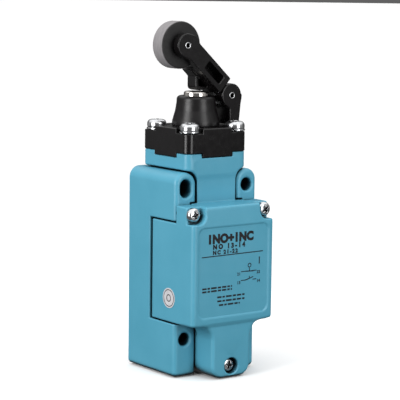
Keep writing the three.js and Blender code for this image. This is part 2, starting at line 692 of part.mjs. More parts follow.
add("roller_rivet", hollowRivet(ROLLER.back, CHEEK.front, ROLLER.x, ROLLER.z), zinc);
add("pivot_rivet", hollowRivet(EAR.back, CHEEK.front, PIVOT.x, PIVOT.z), zinc);

// ---------------------------------------------------------------- contact block

function contactBlock() {
  const { half, back, front, bottom, top } = BLOCK;
  const { half: room, front: roomFront, bottom: floor, top: ceiling } = BLOCK_CAVITY;
  const lugs = SIDES.map((side) => {
    const [inner, outer] = [side * (half - 1), side * 16.4].sort((a, b) => a - b);
    return box([inner, outer], [back - 1.7, back + 1], [LUG.z - 3, LUG.z + 3]);
  });
  const lugHoles = SIDES.map((side) => rod(LUG.holeRadius, 0, back + 3, side * LUG.x, LUG.z, 14));
  const strips = [NORMALLY_CLOSED, NORMALLY_OPEN].flatMap(({ stripLow }) =>
    SIDES.map((side) => {
      const { inner, outer, thickness } = CONTACT_STRIP;
      const [left, right] = [side * (inner - 0.2), side * (outer + 0.2)].sort((a, b) => a - b);
      return box([left, right], [roomFront - 1, front + 1], [stripLow - 0.2, stripLow + thickness + 0.2]);
    }),
  );
  const screwHoles = [NORMALLY_CLOSED, NORMALLY_OPEN].flatMap(({ stripLow }) =>
    SIDES.map((side) =>
      rod(TERMINAL.holeRadius, roomFront + 2, front + 1, side * TERMINAL.x, stripLow - TERMINAL.drop, 14),
    ),
  );
  const barrier = box([-1, 1], [front - 1, front + 6], [bottom + 1, top - 1]);
  const shell = union([box([-half, half], [back, front], [bottom, top]), ...lugs, barrier]);
  return cut(shell, [
    box([-room, room], [back - 1, roomFront], [floor, ceiling]),
    post(2.6, ceiling - 1, top + 1, 0, AXIS_DEPTH, 20),
    ...lugHoles,
    ...strips,
    ...screwHoles,
  ]);
}

add("contact_block", contactBlock(), moulding);
add("contact_block_cover", box([-11, 11], [3.2, 4.8], [BLOCK.bottom, BLOCK.top]), moulding);

function contactCarrier() {
  const { bridgeLow: closed } = NORMALLY_CLOSED;
  const { bridgeLow: open } = NORMALLY_OPEN;
  const stem = box([-2.2, 2.2], [AXIS_DEPTH - 3, AXIS_DEPTH + 3], [-9, 9.7]);
  const button = post(2, 9.5, 13.3, 0, AXIS_DEPTH, 20);
  const windows = [closed, open].map((low) =>
    box([-3, 3], [AXIS_DEPTH - 1.8, AXIS_DEPTH + 1.8], [low - 0.3, low + 1.1]),
  );
  return cut(stem.add(button), windows);
}

add("contact_carrier", contactCarrier(), white);

function bridge(low) {
  return box([-8.6, 8.6], [AXIS_DEPTH - 1.5, AXIS_DEPTH + 1.5], [low, low + 0.8]);
}

add("contact_bridge_closed", bridge(NORMALLY_CLOSED.bridgeLow), brass);
add("contact_bridge_open", bridge(NORMALLY_OPEN.bridgeLow), brass);
add("contact_spring", spring(CONTACT_SPRING), zinc);

// A fixed contact: a strip from the moving bridge to a tab on the front of the block.
function fixedContact(side, low) {
  const { inner, outer, thickness } = CONTACT_STRIP;
  const [left, right] = [side * inner, side * outer].sort((a, b) => a - b);
  const { x, half, drop, holeRadius } = TERMINAL;
  const tabZ = [low - drop - half, low + thickness];
  const strip = box([left, right], [AXIS_DEPTH - 1.8, BLOCK.front + 0.5], [low, low + thickness]);
  const tab = box([side * x - half, side * x + half], [BLOCK.front + 0.15, BLOCK.front + 1], tabZ);
  return strip.add(tab).subtract(rod(holeRadius, BLOCK.front, BLOCK.front + 3, side * x, low - drop, 14));
}

// Terminals: the strip's tab, a square clamp and a screw that faces forward
const terminalScrew = panScrew({ headRadius: 2.7, headHeight: 1.9, shankRadius: 1.4 }, 6);
const wireClamp = geometryOf(
  box([-3, 3], [-3, 3], [0, 0.8]).subtract(post(1.6, -1, 2, 0, 0, 14)),
);
const TERMINALS = [
  ["13", -1, NORMALLY_OPEN.stripLow],
  ["14", 1, NORMALLY_OPEN.stripLow],
  ["21", -1, NORMALLY_CLOSED.stripLow],
  ["22", 1, NORMALLY_CLOSED.stripLow],
];
for (const [number, side, low] of TERMINALS) {
  const [x, z] = [side * TERMINAL.x, low - TERMINAL.drop];
  add(`fixed_contact_${number}`, fixedContact(side, low), brass);
  facingForward(add(`wire_clamp_${number}`, wireClamp, zinc), x, BLOCK.front + 1.15, z);
  facingForward(add(`terminal_screw_${number}`, terminalScrew, zinc), x, BLOCK.front + 2.1, z);
}

const blockScrew = panScrew({ headRadius: 1.9, headHeight: 1.4, shankRadius: 1.1 }, 2.4);
SIDES.forEach((side, index) => {
  facingForward(add(`block_screw_${index + 1}`, blockScrew, zinc), side * LUG.x, BLOCK.back + 1.1, LUG.z);
});

const groundScrew = panScrew({ headRadius: 3, headHeight: 2, shankRadius: 1.7 }, 0.4);
facingForward(add("ground_screw", groundScrew, zinc), 0, BACK_WALL + 0.5, -27);

// ---------------------------------------------------------------- label

const LABEL = { depth: 28.5, z: -13.4, radius: 4, thickness: 0.15 };
const disk = new THREE.CylinderGeometry(LABEL.radius, LABEL.radius, LABEL.thickness, 32);
const label = add("side_label", disk, white);
label.rotation.z = Math.PI / 2;
label.position.set(-HALF_WIDTH - LABEL.thickness / 2 - 0.01, -LABEL.depth, LABEL.z);

export default limitSwitch;
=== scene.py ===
"""A heavy-duty limit switch with a top roller lever head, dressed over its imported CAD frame.

Castings and mouldings are solids given by distance formulas in millimetres, with x to the right,
d the depth forward from the mounting face and z up. Turned pieces are profiles spun about an axis.
"""

import json
import math

import bmesh
import bpy
import numpy as np
from mathutils import Matrix, Quaternion, Vector


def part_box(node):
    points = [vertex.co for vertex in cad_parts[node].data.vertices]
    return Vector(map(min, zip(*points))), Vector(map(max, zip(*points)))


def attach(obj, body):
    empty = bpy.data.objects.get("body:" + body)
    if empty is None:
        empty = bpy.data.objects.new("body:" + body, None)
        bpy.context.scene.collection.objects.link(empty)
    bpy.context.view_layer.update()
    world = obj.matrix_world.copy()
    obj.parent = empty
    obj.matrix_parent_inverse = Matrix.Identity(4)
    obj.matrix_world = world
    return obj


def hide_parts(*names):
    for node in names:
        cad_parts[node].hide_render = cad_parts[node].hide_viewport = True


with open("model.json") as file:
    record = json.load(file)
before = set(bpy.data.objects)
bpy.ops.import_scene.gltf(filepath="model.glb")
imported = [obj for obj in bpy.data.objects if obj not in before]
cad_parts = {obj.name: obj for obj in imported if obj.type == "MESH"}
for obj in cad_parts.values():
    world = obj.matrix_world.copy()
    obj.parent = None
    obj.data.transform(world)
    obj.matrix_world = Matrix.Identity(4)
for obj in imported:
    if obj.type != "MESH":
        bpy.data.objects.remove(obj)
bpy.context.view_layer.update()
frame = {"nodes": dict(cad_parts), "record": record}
MM = 0.001


def extent(node):
    """A CAD node's (low, high) along x, depth and z, in millimetres."""
    low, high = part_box(node)
    return (low.x / MM, high.x / MM), (-high.y / MM, -low.y / MM), (low.z / MM, high.z / MM)


# ---------------------------------------------------------------- places read from the frame

(_, HALF_WIDTH), (_, BASE_FRONT), (BOTTOM, SHOULDER) = extent("base_housing")
_, (_, COVER_FRONT), (_, NECK_TOP) = extent("front_housing")
_, (HEAD_BACK, HEAD_FRONT), _ = extent("head_gasket")
AXIS = (HEAD_BACK + HEAD_FRONT) / 2
(ROLLER_LEFT, ROLLER_RIGHT), (ROLLER_BACK, ROLLER_FRONT), (ROLLER_LOW, ROLLER_TOP) = extent("roller")
ROLLER_X, ROLLER_Z = (ROLLER_LEFT + ROLLER_RIGHT) / 2, (ROLLER_LOW + ROLLER_TOP) / 2
ROLLER_RADIUS = (ROLLER_TOP - ROLLER_LOW) / 2
(PIVOT_LEFT, PIVOT_RIGHT), _, (PIVOT_LOW, PIVOT_HIGH) = extent("pivot_rivet")
PIVOT_X, PIVOT_Z = (PIVOT_LEFT + PIVOT_RIGHT) / 2, (PIVOT_LOW + PIVOT_HIGH) / 2
_, (LEVER_BACK, LEVER_FRONT), _ = extent("lever")
_, _, (_, TURRET_TOP) = extent("guide_turret")
_, _, (PLUNGER_LOW, PLUNGER_TOP) = extent("plunger")

# ---------------------------------------------------------------- driving dimensions, millimetres

# Mounting holes (the upper left one is a slot), and the planes where the two housings part.
MOUNT_X, MOUNT_Z, MOUNT_RADIUS, SLOT_TRAVEL = 15, 30, 2.65, 1
PARTING_BASE, PARTING_FRONT = 15, 16.6
NOTCH_LOW, NOTCH_HIGH = -23.6, 17.5

# Hollows of the base: contact chamber, way down for the wires, conduit entry.
BACK_WALL, WALL, EAR_INNER = 3, 2.6, 5
CHAMBER, CHAMBER_LOW, CHAMBER_HIGH = 16.8, -20, 13.8
WIRE_WAY, WIRE_WAY_FRONT = 9, 22
CONDUIT_DEPTH, CONDUIT_RADIUS, CONDUIT_TOP, THREAD_DEPTH = 12.6, 9.3, -35, 0.6

# Cover box, its recessed panel and the pockets of its two upper screws.
COVER_LOW, COVER_SHOULDER, COVER_TOP = -23, 16.9, 23.8
COVER_LEAN, COVER_CORNER, INK_HEIGHT = 0.085, 1.8, 0.03
PANEL_HALF, PANEL_LOW, PANEL_HIGH, PANEL_DEPTH, PANEL_CORNER = 16.9, -19.6, 15.6, 0.3, 2.6
POCKET_SIDE, POCKET_LOW, POCKET_CORNER = 13.4, 17.2, 3.6
ROOM_LOW, ROOM_HIGH = -20.4, 14.3

# Tongue between the ears, its foot on the cover box, and the boss under the box.
TONGUE, SIDE_GAP, FOOT, FOOT_TOP = 9.4, 0.5, 12.4, 23.9
BOSS, BOSS_BACK, BOSS_FRONT, BOSS_CORNER, BOSS_FLARE, BOSS_GAP = 9.45, 26.3, 43.5, 5, 6.5, 0.25
BOSS_ROOM, BOSS_ROOM_LOW, BOSS_ROOM_HIGH = 6.8, -34, -20

# Square neck, the notches for the head's tabs, and its hollows.
NECK, NECK_LOW, NECK_RECESS, TAB_HALF, TAB = 14.95, 36.8, 41.6, 7.5, 3
NECK_BACK, NECK_FRONT = AXIS - NECK, AXIS + NECK - 0.16
NECK_CORNER, NECK_BACK_CORNER = 3.0, 1.2
SHAFT, SHAFT_BACK, SHAFT_FRONT, SHAFT_LOW = 7.2, 6.5, 29.5, 19.4
GASKET_SEAT, GASKET_SEAT_LOW = 9.6, 41.8
ROD_WAY, ROD_WAY_LOW = 2.4, 13

# Cover screws and head screws, with their bores.
SCREW_SEAT, SCREW_X, SCREW_Z, LOWER_SCREW_Z = 39.6, 17.3, 20.8, -40.4
SCREW_RADIUS, SCREW_HEIGHT, SCREW_BORE = 2.85, 2.2, 1.8
UPPER_TAPPED, LOWER_TAPPED = 19, 22.4
HEAD_SCREW, HEAD_SCREW_RADIUS, HEAD_SCREW_HEIGHT, HEAD_SCREW_BORE = 11.2, 3.9, 2.9, 2.0
HEAD_TAPPED, WASHER_INNER, WASHER_OUTER, WASHER_THICKNESS = 38.5, 2.1, 4.05, 0.9

# Head casting: flange, corner pockets, bore, and the two ears that hold the lever's rivet.
FLANGE_TOP, POCKET_FLOOR, POCKET = 53.2, 51.3, 5.2
HEAD_BORE, RETAINER_SEAT, RETAINER_TOP = 7.0, 8.3, 44.6
EAR, EAR_GAP_FRONT, EAR_GAP_BACK, EAR_BACK = 4.8, 3.1, -4.7, -7
ARM_LEFT, ARM_RIGHT, ARM_LEAN = 11.8, 16.3, 0.105

# Turret and plunger.
TURRET_BASE, TURRET_ROOT, TURRET_SPIGOT, TURRET_BORE = 53.3, 52.6, 6.85, 5.15
SEAL_BORE, SEAL_TOP = 6, 60.3
PLUNGER, COLLAR, COLLAR_LOW, COLLAR_TOP = 4.95, 5.8, 50.8, 52.3
STEM, STEM_TIP, STEM_STEP = 1.9, 1.1, 24

# Lever, measured along and square to the line from the roller to the pivot, and its roller.
CHEEK_BACK, CHEEK_UPPER, CHEEK_LOWER, CHEEK_END, CHEEK_ROUND = 3.6, 4.6, -3.1, 25.0, 4.7
HUB, HUB_FRONT, RIVET, RIVET_HOLE, RIVET_HOLE_DEPTH = 4.4, 2.8, 1.25, 0.92, 3
NOSE, NOSE_X, NOSE_LEFT, NOSE_LOW, NOSE_FRONT = 3.5, 1.2, -1.0, 67.2, 1.4
WINDOW_START, WINDOW_END, WINDOW_LOWER, WINDOW_UPPER = 12.3, 22, -1, 2.7
ROLLER_HUB, ROLLER_GROOVE, ROLLER_SUNK, ROLLER_EDGE = 2.6, 4.2, 0.9, 0.7

# ---------------------------------------------------------------- distance formulas


def between(value, low, high):
    return np.abs(value - (low + high) / 2) - (high - low) / 2


def rounded_meet(a, b, radius=0.0):
    """Where both solids are, with the edge between them rounded over."""
    rim = np.hypot(np.maximum(radius + a, 0), np.maximum(radius + b, 0))
    return np.minimum(-radius, np.maximum(a, b)) + rim


def cut(a, b, radius=0.0):
    """The first solid without the second, its new edges rounded over."""
    return rounded_meet(a, -b, radius)


def join(a, b, radius=0.0):
    """Both solids, with a concave fillet between them."""
    fillet = np.hypot(np.maximum(radius - a, 0), np.maximum(radius - b, 0))
    return np.maximum(radius, np.minimum(a, b)) - fillet


def rectangle(u, v, left, right, low, high, radius=0.0):
    """A flat rectangle. A radius of (lower, upper) rounds its lower and upper corners differently."""
    if isinstance(radius, tuple):
        radius = np.where(v > (low + high) / 2, radius[1], radius[0])
    return rounded_meet(between(u, left, right), between(v, low, high), radius)


def circle(u, v, middle_u, middle_v, radius):
    return np.hypot(u - middle_u, v - middle_v) - radius


def slot(u, v, middle_u, middle_v, radius, travel):
    return np.hypot(u - middle_u, np.maximum(np.abs(v - middle_v) - travel, 0)) - radius


def raised(flat, w, low, high, edge=0.0):
    """A flat shape given thickness along w. An edge of (lower, upper) rounds its two rims differently."""
    if isinstance(edge, tuple):
        edge = np.where(w > (low + high) / 2, edge[1], edge[0])
    return rounded_meet(flat, between(w, low, high), edge)


# ---------------------------------------------------------------- from a formula to a mesh


def surface_net(field, low, high, step):
    """Points and quads on the zero surface of a formula, one point for each grid cell it crosses."""
    low = np.array(low, float) - 1.6 * step
    counts = np.ceil((np.array(high, float) + 1.6 * step - low) / step).astype(int) + 1
    axes = [low[i] + step * np.arange(counts[i]) for i in range(3)]
    value = np.broadcast_to(field(*np.meshgrid(*axes, indexing="ij", sparse=True)), counts)
    inside = value < 0
    corners = [(i, j, k) for i in (0, 1) for j in (0, 1) for k in (0, 1)]
    cells_shape = counts - 1

    def corner(array, offset):
        return array[tuple(slice(o, o + n) for o, n in zip(offset, cells_shape))]

    filled = sum(corner(inside, offset).astype(np.uint8) for offset in corners)
    active = (filled > 0) & (filled < 8)
    index = np.full(active.shape, -1)
    index[active] = np.arange(active.sum())
    cells = np.argwhere(active)
    at_corner = {offset: corner(value, offset)[active] for offset in corners}
    total, crossings = np.zeros((len(cells), 3)), np.zeros(len(cells))
    for axis in range(3):
        for start in (offset for offset in corners if offset[axis] == 0):
            end = tuple(o + (i == axis) for i, o in enumerate(start))
            a, b = at_corner[start], at_corner[end]
            crossed = (a < 0) != (b < 0)
            share = np.where(crossed, a / np.where(a == b, 1, a - b), 0)
            place = np.tile(np.array(start, float), (len(cells), 1))
            place[:, axis] += share
            total += place * crossed[:, None]
            crossings += crossed
    points = low + step * (cells + total / crossings[:, None])
    quads = []
    for axis in range(3):
        along_b, along_c = np.roll(np.eye(3, dtype=int), -axis - 1, axis=0)[:2]
        here = [slice(1, -1)] * 3
        there = [slice(1, -1)] * 3
        here[axis], there[axis] = slice(0, -1), slice(1, None)
        first, second = inside[tuple(here)], inside[tuple(there)]
        edge = np.argwhere(first != second)
        outward = first[tuple(edge.T)]
        edge = edge + (np.arange(3) != axis)
        shifts = (along_b + along_c, along_c, 0 * along_b, along_b)
        ring = np.stack([index[tuple((edge - shift).T)] for shift in shifts], axis=1)
        quads.append(np.where(outward[:, None], ring, ring[:, ::-1]))
    return points, np.concatenate(quads)


def steepness(field, points, reach=0.02):
    gradient = np.empty_like(points)
    for axis in range(3):
        shift = np.zeros(3)
        shift[axis] = reach
        gradient[:, axis] = field(*(points + shift).T) - field(*(points - shift).T)
    return gradient / (2 * reach)


def settle(field, points, step):
    """Moves points onto the zero surface."""
    for _ in range(4):
        gradient = steepness(field, points)
        squared = np.maximum((gradient**2).sum(axis=1), 0.25)
        move = gradient * (field(*points.T) / squared)[:, None]
        points = points - np.clip(move, -0.4 * step, 0.4 * step)
    return points


def read_points(mesh):
    points = np.empty(len(mesh.vertices) * 3)
    mesh.vertices.foreach_get("co", points)
    return points.reshape(-1, 3)


def shape_mesh(name, field, low, high, step):
    """A mesh of a distance formula in x, depth and z, in metres, with the formula's own normals."""

    def upright(x, y, z):
        return field(x, -y, z)

    low, high = (low[0], -high[1], low[2]), (high[0], -low[1], high[2])
    points, quads = surface_net(upright, low, high, step)
    points = settle(upright, points, step)
    mesh = bpy.data.meshes.new(name)
    mesh.from_pydata(points, [], quads.tolist())
    bm = bmesh.new()
    bm.from_mesh(mesh)
    bmesh.ops.remove_doubles(bm, verts=bm.verts, dist=step * 0.02)
    bmesh.ops.dissolve_limit(bm, angle_limit=math.radians(0.5), verts=bm.verts, edges=bm.edges)
    bmesh.ops.triangulate(bm, faces=[face for face in bm.faces if len(face.verts) > 4])
    bm.to_mesh(mesh)
    bm.free()
    normals = steepness(upright, read_points(mesh))
    normals /= np.maximum(np.linalg.norm(normals, axis=1), 1e-9)[:, None]
    mesh.vertices.foreach_set("co", (read_points(mesh) * MM).ravel())
    mesh.polygons.foreach_set("use_smooth", [True] * len(mesh.polygons))
    mesh.normals_split_custom_set_from_vertices(normals)
    mesh.update()
    return mesh


def turned_mesh(name, profile, axis_point, forward=False, segments=96):
    """A mesh of [radius, height] points spun about a vertical axis, or about one that runs forward."""
    bm = bmesh.new()
    middle_x, middle = axis_point
    rings = []
    for radius, height in profile:
        ring = []
        for i in range(segments if radius > 0 else 1):
            angle = 2 * math.pi * i / segments
            u, v = radius * math.cos(angle), radius * math.sin(angle)
            upright = (middle_x + u, v - middle, height)
            place = (middle_x + u, -height, middle + v) if forward else upright
            ring.append(bm.verts.new(Vector(place) * MM))
        rings.append(ring)
    closed = profile[0][0] > 0
    for a, b in zip(rings, rings[1:] + rings[:1] if closed else rings[1:]):
        for i in range(segments):
            corners = [a[i % len(a)], a[(i + 1) % len(a)], b[(i + 1) % len(b)], b[i % len(b)]]
            bm.faces.new(list(dict.fromkeys(corners)))
    bmesh.ops.recalc_face_normals(bm, faces=bm.faces)
    for face in bm.faces:
        face.smooth = True
    for edge in bm.edges:
        edge.smooth = edge.calc_face_angle(0) < math.radians(32)
    mesh = bpy.data.meshes.new(name)
    bm.to_mesh(mesh)
    bm.free()
    return mesh


def eased(profile, radii, steps=5):
    """A [radius, height] profile with corners rounded. radii gives each one by its place in the list."""
    points = []
    for i, corner in enumerate(profile):
        radius = radii.get(i, 0)
        if not radius:
            points.append(corner)
            continue
        here = Vector(corner)
        before = (Vector(profile[i - 1]) - here).normalized()
        after = (Vector(profile[(i + 1) % len(profile)]) - here).normalized()
        half = before.angle(after) / 2
        centre = here + (before + after).normalized() * (radius / math.sin(half))
        start = here + before * (radius / math.tan(half)) - centre
        end = here + after * (radius / math.tan(half)) - centre
        turn = start.angle_signed(end)
        for step in range(steps + 1):
            points.append(tuple(centre + Matrix.Rotation(-turn * step / steps, 2) @ start))
    return points


def dress(piece, body, node, slot_name):
    """Gives a piece its finish, stands it in for a CAD node and lets it ride on a body."""
    if not piece.data.materials:
        piece.data.materials.append(SLOT_FINISH[slot_name])
    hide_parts(node)
    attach(piece, body)


def show(name, mesh, body, node, slot_name):
    """Puts a mesh whose points are already in place in the scene."""
    piece = bpy.data.objects.new(name, mesh)
    bpy.context.scene.collection.objects.link(piece)
    dress(piece, body, node, slot_name)


# ---------------------------------------------------------------- housing castings


def ramp(value, low, high):
    """0 below low, 1 above high and smooth between."""
    share = np.clip((value - low) / (high - low), 0, 1)
    return share * share * (3 - 2 * share)


def base_housing(x, d, z):
    gap = TONGUE + SIDE_GAP
    outline = rectangle(x, z, -HALF_WIDTH, HALF_WIDTH, BOTTOM, SHOULDER, (2.0, 4.5))
    tongue_slot = rectangle(x, z, -gap, gap, NOTCH_LOW, 2 * SHOULDER)
    ears = raised(cut(outline, tongue_slot, EAR_INNER), d, 0.5, BASE_FRONT, (0.0, 1.8))
    body = np.minimum(ears, raised(outline, d, 0, BACK_WALL, (0.4, 0.0)))
    notch = rectangle(d, z, PARTING_BASE, 2 * BASE_FRONT, NOTCH_LOW, NOTCH_HIGH)
    body = cut(body, notch, 0.5)
    boss_gap = BOSS + BOSS_GAP
    boss_slot = rectangle(x, z, -boss_gap, boss_gap, 2 * BOTTOM, NOTCH_LOW + 2)
    body = cut(body, raised(boss_slot, d, BOSS_BACK - 0.3, 2 * BASE_FRONT), 1.0)
    foot_half = FOOT + SIDE_GAP
    foot_slot = rectangle(x, z, -foot_half, foot_half, NOTCH_HIGH - 2, FOOT_TOP + SIDE_GAP)
    body = cut(body, raised(foot_slot, d, AXIS, 2 * BASE_FRONT), 0.4)
    chamber = rectangle(x, z, -CHAMBER, CHAMBER, CHAMBER_LOW, CHAMBER_HIGH, 2.0)
    body = cut(body, raised(chamber, d, BACK_WALL, 2 * BASE_FRONT), 0.3)
    wire_way = rectangle(x, z, -WIRE_WAY, WIRE_WAY, CONDUIT_TOP - 1, CHAMBER_LOW + 1, 1.0)
    body = cut(body, raised(wire_way, d, BACK_WALL, WIRE_WAY_FRONT), 0.3)
    conduit = circle(x, d, 0, CONDUIT_DEPTH, CONDUIT_RADIUS + THREAD_DEPTH)
    body = cut(body, raised(conduit, z, 2 * BOTTOM, CONDUIT_TOP), 0.4)
    for hole in (
        slot(x, z, -MOUNT_X, MOUNT_Z, MOUNT_RADIUS, SLOT_TRAVEL),
        circle(x, z, MOUNT_X, MOUNT_Z, MOUNT_RADIUS),
        circle(np.abs(x), z, MOUNT_X, -MOUNT_Z, MOUNT_RADIUS),
    ):
        body = cut(body, hole, 0.9)
    upper = circle(np.abs(x), z, SCREW_X, SCREW_Z, SCREW_BORE)
    lower = circle(x, z, 0, LOWER_SCREW_Z, SCREW_BORE)
    body = cut(body, raised(upper, d, UPPER_TAPPED, 2 * BASE_FRONT))
    return cut(body, raised(lower, d, LOWER_TAPPED, 2 * BASE_FRONT))


def cover(x, d, z):
    """The box that closes the front of the chamber, with its recessed panel and its screw pockets."""
    side = np.abs(x)
    face = COVER_FRONT - COVER_LEAN * np.maximum(z - PANEL_HIGH, 0)
    corner = rounded_meet(side - HALF_WIDTH, d - face, COVER_CORNER)
    ahead = 2 * COVER_FRONT
    beside_ears = rectangle(d, z, PARTING_FRONT, ahead, COVER_LOW, COVER_SHOULDER)
    above = rectangle(d, z, BASE_FRONT + 0.3, ahead, COVER_LOW, COVER_TOP)
    # The rim is rounder towards the front, most of all along the bottom.
    edge = 0.6 + ramp(d, 34, 41) * np.where(z < 0, 0.6, 0.3)
    body = rounded_meet(corner, np.minimum(beside_ears, above), edge)
    pocket = rectangle(side, z, POCKET_SIDE, 2 * HALF_WIDTH, POCKET_LOW, 2 * COVER_TOP, POCKET_CORNER)
    body = cut(body, rounded_meet(pocket, SCREW_SEAT - d), 0.6)
    floor = COVER_FRONT - PANEL_DEPTH
    panel = rectangle(x, z, -PANEL_HALF, PANEL_HALF, PANEL_LOW, PANEL_HIGH, PANEL_CORNER) - (d - floor)
    return cut(body, rounded_meet(panel * math.sqrt(0.5), floor - d), 0.35)


def neck(x, d, z):
    """The square neck under the head and the tongue that runs down from it between the ears."""
    plan = rectangle(x, d, -NECK, NECK, NECK_BACK, NECK_FRONT, (NECK_BACK_CORNER, NECK_CORNER))
    collar = raised(plan, z, NECK_LOW, NECK_TOP, (0.9, 0.3))
    tongue = rectangle(x, z, -TONGUE, TONGUE, COVER_SHOULDER, NECK_LOW + 2)
    tongue = raised(tongue, d, BACK_WALL + 0.4, BASE_FRONT)
    body = rounded_meet(join(collar, tongue, EAR_INNER - SIDE_GAP), plan, 0.6)
    foot = rectangle(x, z, -FOOT, FOOT, COVER_SHOULDER - 1, FOOT_TOP)
    body = join(body, raised(foot, d, AXIS + 0.4, BASE_FRONT + 1, 0.3), 0.4)
    notch_front = rounded_meet(np.abs(x) - TAB_HALF, AXIS - NECK_BACK - TAB - np.abs(d - AXIS))
    notch_side = rounded_meet(np.abs(d - AXIS) - TAB_HALF, NECK - TAB - np.abs(x))
    return cut(body, rounded_meet(np.minimum(notch_front, notch_side), NECK_RECESS - z), 0.25)


def boss(x, d, z):
    """The lower foot of the cover, flared where it meets the box."""
    outline = rectangle(x, z, -BOSS, BOSS, BOTTOM, 0, (BOSS_CORNER, 0.0))
    flared = join(outline, COVER_LOW - z, BOSS_FLARE)
    flared = np.maximum(flared, np.maximum(z - COVER_LOW - 1, np.abs(x) - BOSS - BOSS_FLARE - 1))
    lower = raised(np.maximum(outline, z - COVER_LOW - 1), d, BOSS_BACK, BOSS_FRONT, (0.4, 1.4))
    return np.minimum(lower, raised(flared, d, BASE_FRONT + 0.6, BOSS_FRONT, (0.3, 1.4)))


def front_housing(x, d, z):
    body = join(join(cover(x, d, z), neck(x, d, z), 0.6), boss(x, d, z), 1.2)
    inner = HALF_WIDTH - WALL
    room = rectangle(x, z, -inner, inner, ROOM_LOW, ROOM_HIGH, 2.0)
    boss_room = rectangle(x, z, -BOSS_ROOM, BOSS_ROOM, BOSS_ROOM_LOW, BOSS_ROOM_HIGH, 1.0)
    shaft = rectangle(x, d, -SHAFT, SHAFT, SHAFT_BACK, SHAFT_FRONT, 1.0)
    seat = rectangle(x, d, -GASKET_SEAT, GASKET_SEAT, AXIS - GASKET_SEAT, AXIS + GASKET_SEAT, 2.0)
    for hollow in (
        raised(room, d, 0, COVER_FRONT - WALL),
        raised(boss_room, d, 0, BOSS_FRONT - WALL),
        raised(shaft, z, SHAFT_LOW, 2 * NECK_TOP),
        raised(seat, z, GASKET_SEAT_LOW, 2 * NECK_TOP),
        raised(circle(x, d, 0, AXIS, ROD_WAY), z, ROD_WAY_LOW, SHAFT_LOW + 0.6),
    ):
        body = cut(body, hollow, 0.2)
    well = raised(circle(x, z, 0, LOWER_SCREW_Z, SCREW_RADIUS + 0.45), d, SCREW_SEAT, 2 * COVER_FRONT)
    body = cut(body, well, 0.5)
    upper = circle(np.abs(x), z, SCREW_X, SCREW_Z, SCREW_BORE)
    lower = circle(x, z, 0, LOWER_SCREW_Z, SCREW_BORE)
    body = cut(body, raised(np.minimum(upper, lower), d, UPPER_TAPPED + 1, 2 * COVER_FRONT))
    tapped = circle(np.abs(x), np.abs(d - AXIS), HEAD_SCREW, HEAD_SCREW, HEAD_SCREW_BORE)
    return cut(body, raised(tapped, z, HEAD_TAPPED, 2 * NECK_TOP))


def clevis(x, d, z):
    """The two ears at the back corner of the head that the lever's rivet passes through."""
    t = d - AXIS
    arm_right = x - ARM_RIGHT - (z - POCKET_FLOOR) * ARM_LEAN
    arm = rounded_meet(rounded_meet(ARM_LEFT - x, arm_right), between(z, POCKET_FLOOR, PIVOT_Z))
    lug = join(circle(x, z, PIVOT_X, PIVOT_Z, EAR), arm, 1.0)
    ears = raised(lug, t, EAR_BACK, LEVER_FRONT - AXIS, 0.45)
    below_hub = rounded_meet(PIVOT_Z - 3 - z, 0 * x - 1)
    hub_room = np.minimum(circle(x, z, PIVOT_X, PIVOT_Z, HUB + 0.7), below_hub)
    return cut(ears, raised(hub_room, t, EAR_GAP_BACK, EAR_GAP_FRONT), 0.2)


def head_body(x, d, z):
    t = d - AXIS
    plan = rectangle(x, d, -NECK, NECK, NECK_BACK, NECK_FRONT, (NECK_BACK_CORNER, NECK_CORNER))
    flange = raised(plan, z, NECK_TOP + 0.1, FLANGE_TOP, (0.3, 0.6))
    tab_half, tab_inner = TAB_HALF - 0.2, NECK - TAB + 0.2
    tabs = np.minimum(
        rounded_meet(np.abs(x) - tab_half, tab_inner - np.abs(t), 0.3),
        rounded_meet(np.abs(t) - tab_half, tab_inner - np.abs(x), 0.3),
    )
    tabs = raised(rounded_meet(plan, tabs), z, NECK_RECESS + 0.1, NECK_TOP + 2, 0.3)
    pockets = circle(np.abs(x), np.abs(t), HEAD_SCREW, HEAD_SCREW, POCKET)
    body = cut(np.minimum(flange, tabs), raised(pockets, z, POCKET_FLOOR, 2 * FLANGE_TOP), 0.4)
    body = join(body, clevis(x, d, z), 0.7)
    shanks = circle(np.abs(x), np.abs(t), HEAD_SCREW, HEAD_SCREW, HEAD_SCREW_BORE)
    for hole in (
        raised(circle(x, d, 0, AXIS, HEAD_BORE), z, 0, 2 * FLANGE_TOP),
        raised(circle(x, d, 0, AXIS, RETAINER_SEAT), z, 0, RETAINER_TOP),
        raised(shanks, z, 0, 2 * FLANGE_TOP),
        raised(circle(x, z, PIVOT_X, PIVOT_Z, RIVET + 0.1), t, -HALF_WIDTH, HALF_WIDTH),
    ):
        body = cut(body, hole)
    return body


# ---------------------------------------------------------------- roller lever


def lever_axes(x, z):
    """Along the lever from the roller's axis to the pivot, and square above that line."""
    slope = math.atan2(PIVOT_Z - ROLLER_Z, PIVOT_X - ROLLER_X)
    right, up = x - ROLLER_X, z - ROLLER_Z
    return right * math.cos(slope) + up * math.sin(slope), up * math.cos(slope) - right * math.sin(slope)


def polygon(u, v, corners):
    """The exact distance to a flat polygon."""
    nearest, sign = np.inf, 1.0
    for (u1, v1), (u2, v2) in zip(corners, corners[1:] + corners[:1]):
        edge_u, edge_v = u1 - u2, v1 - v2
        from_u, from_v = u - u2, v - v2
        share = np.clip((from_u * edge_u + from_v * edge_v) / (edge_u**2 + edge_v**2), 0, 1)
        nearest = np.minimum(nearest, np.hypot(from_u - edge_u * share, from_v - edge_v * share))
        below, ahead = v >= v2, v < v1
        side = edge_u * from_v > edge_v * from_u
        flips = (below & ahead & side) | (~below & ~ahead & ~side)
        sign = sign * np.where(flips, -1.0, 1.0)
    return sign * nearest


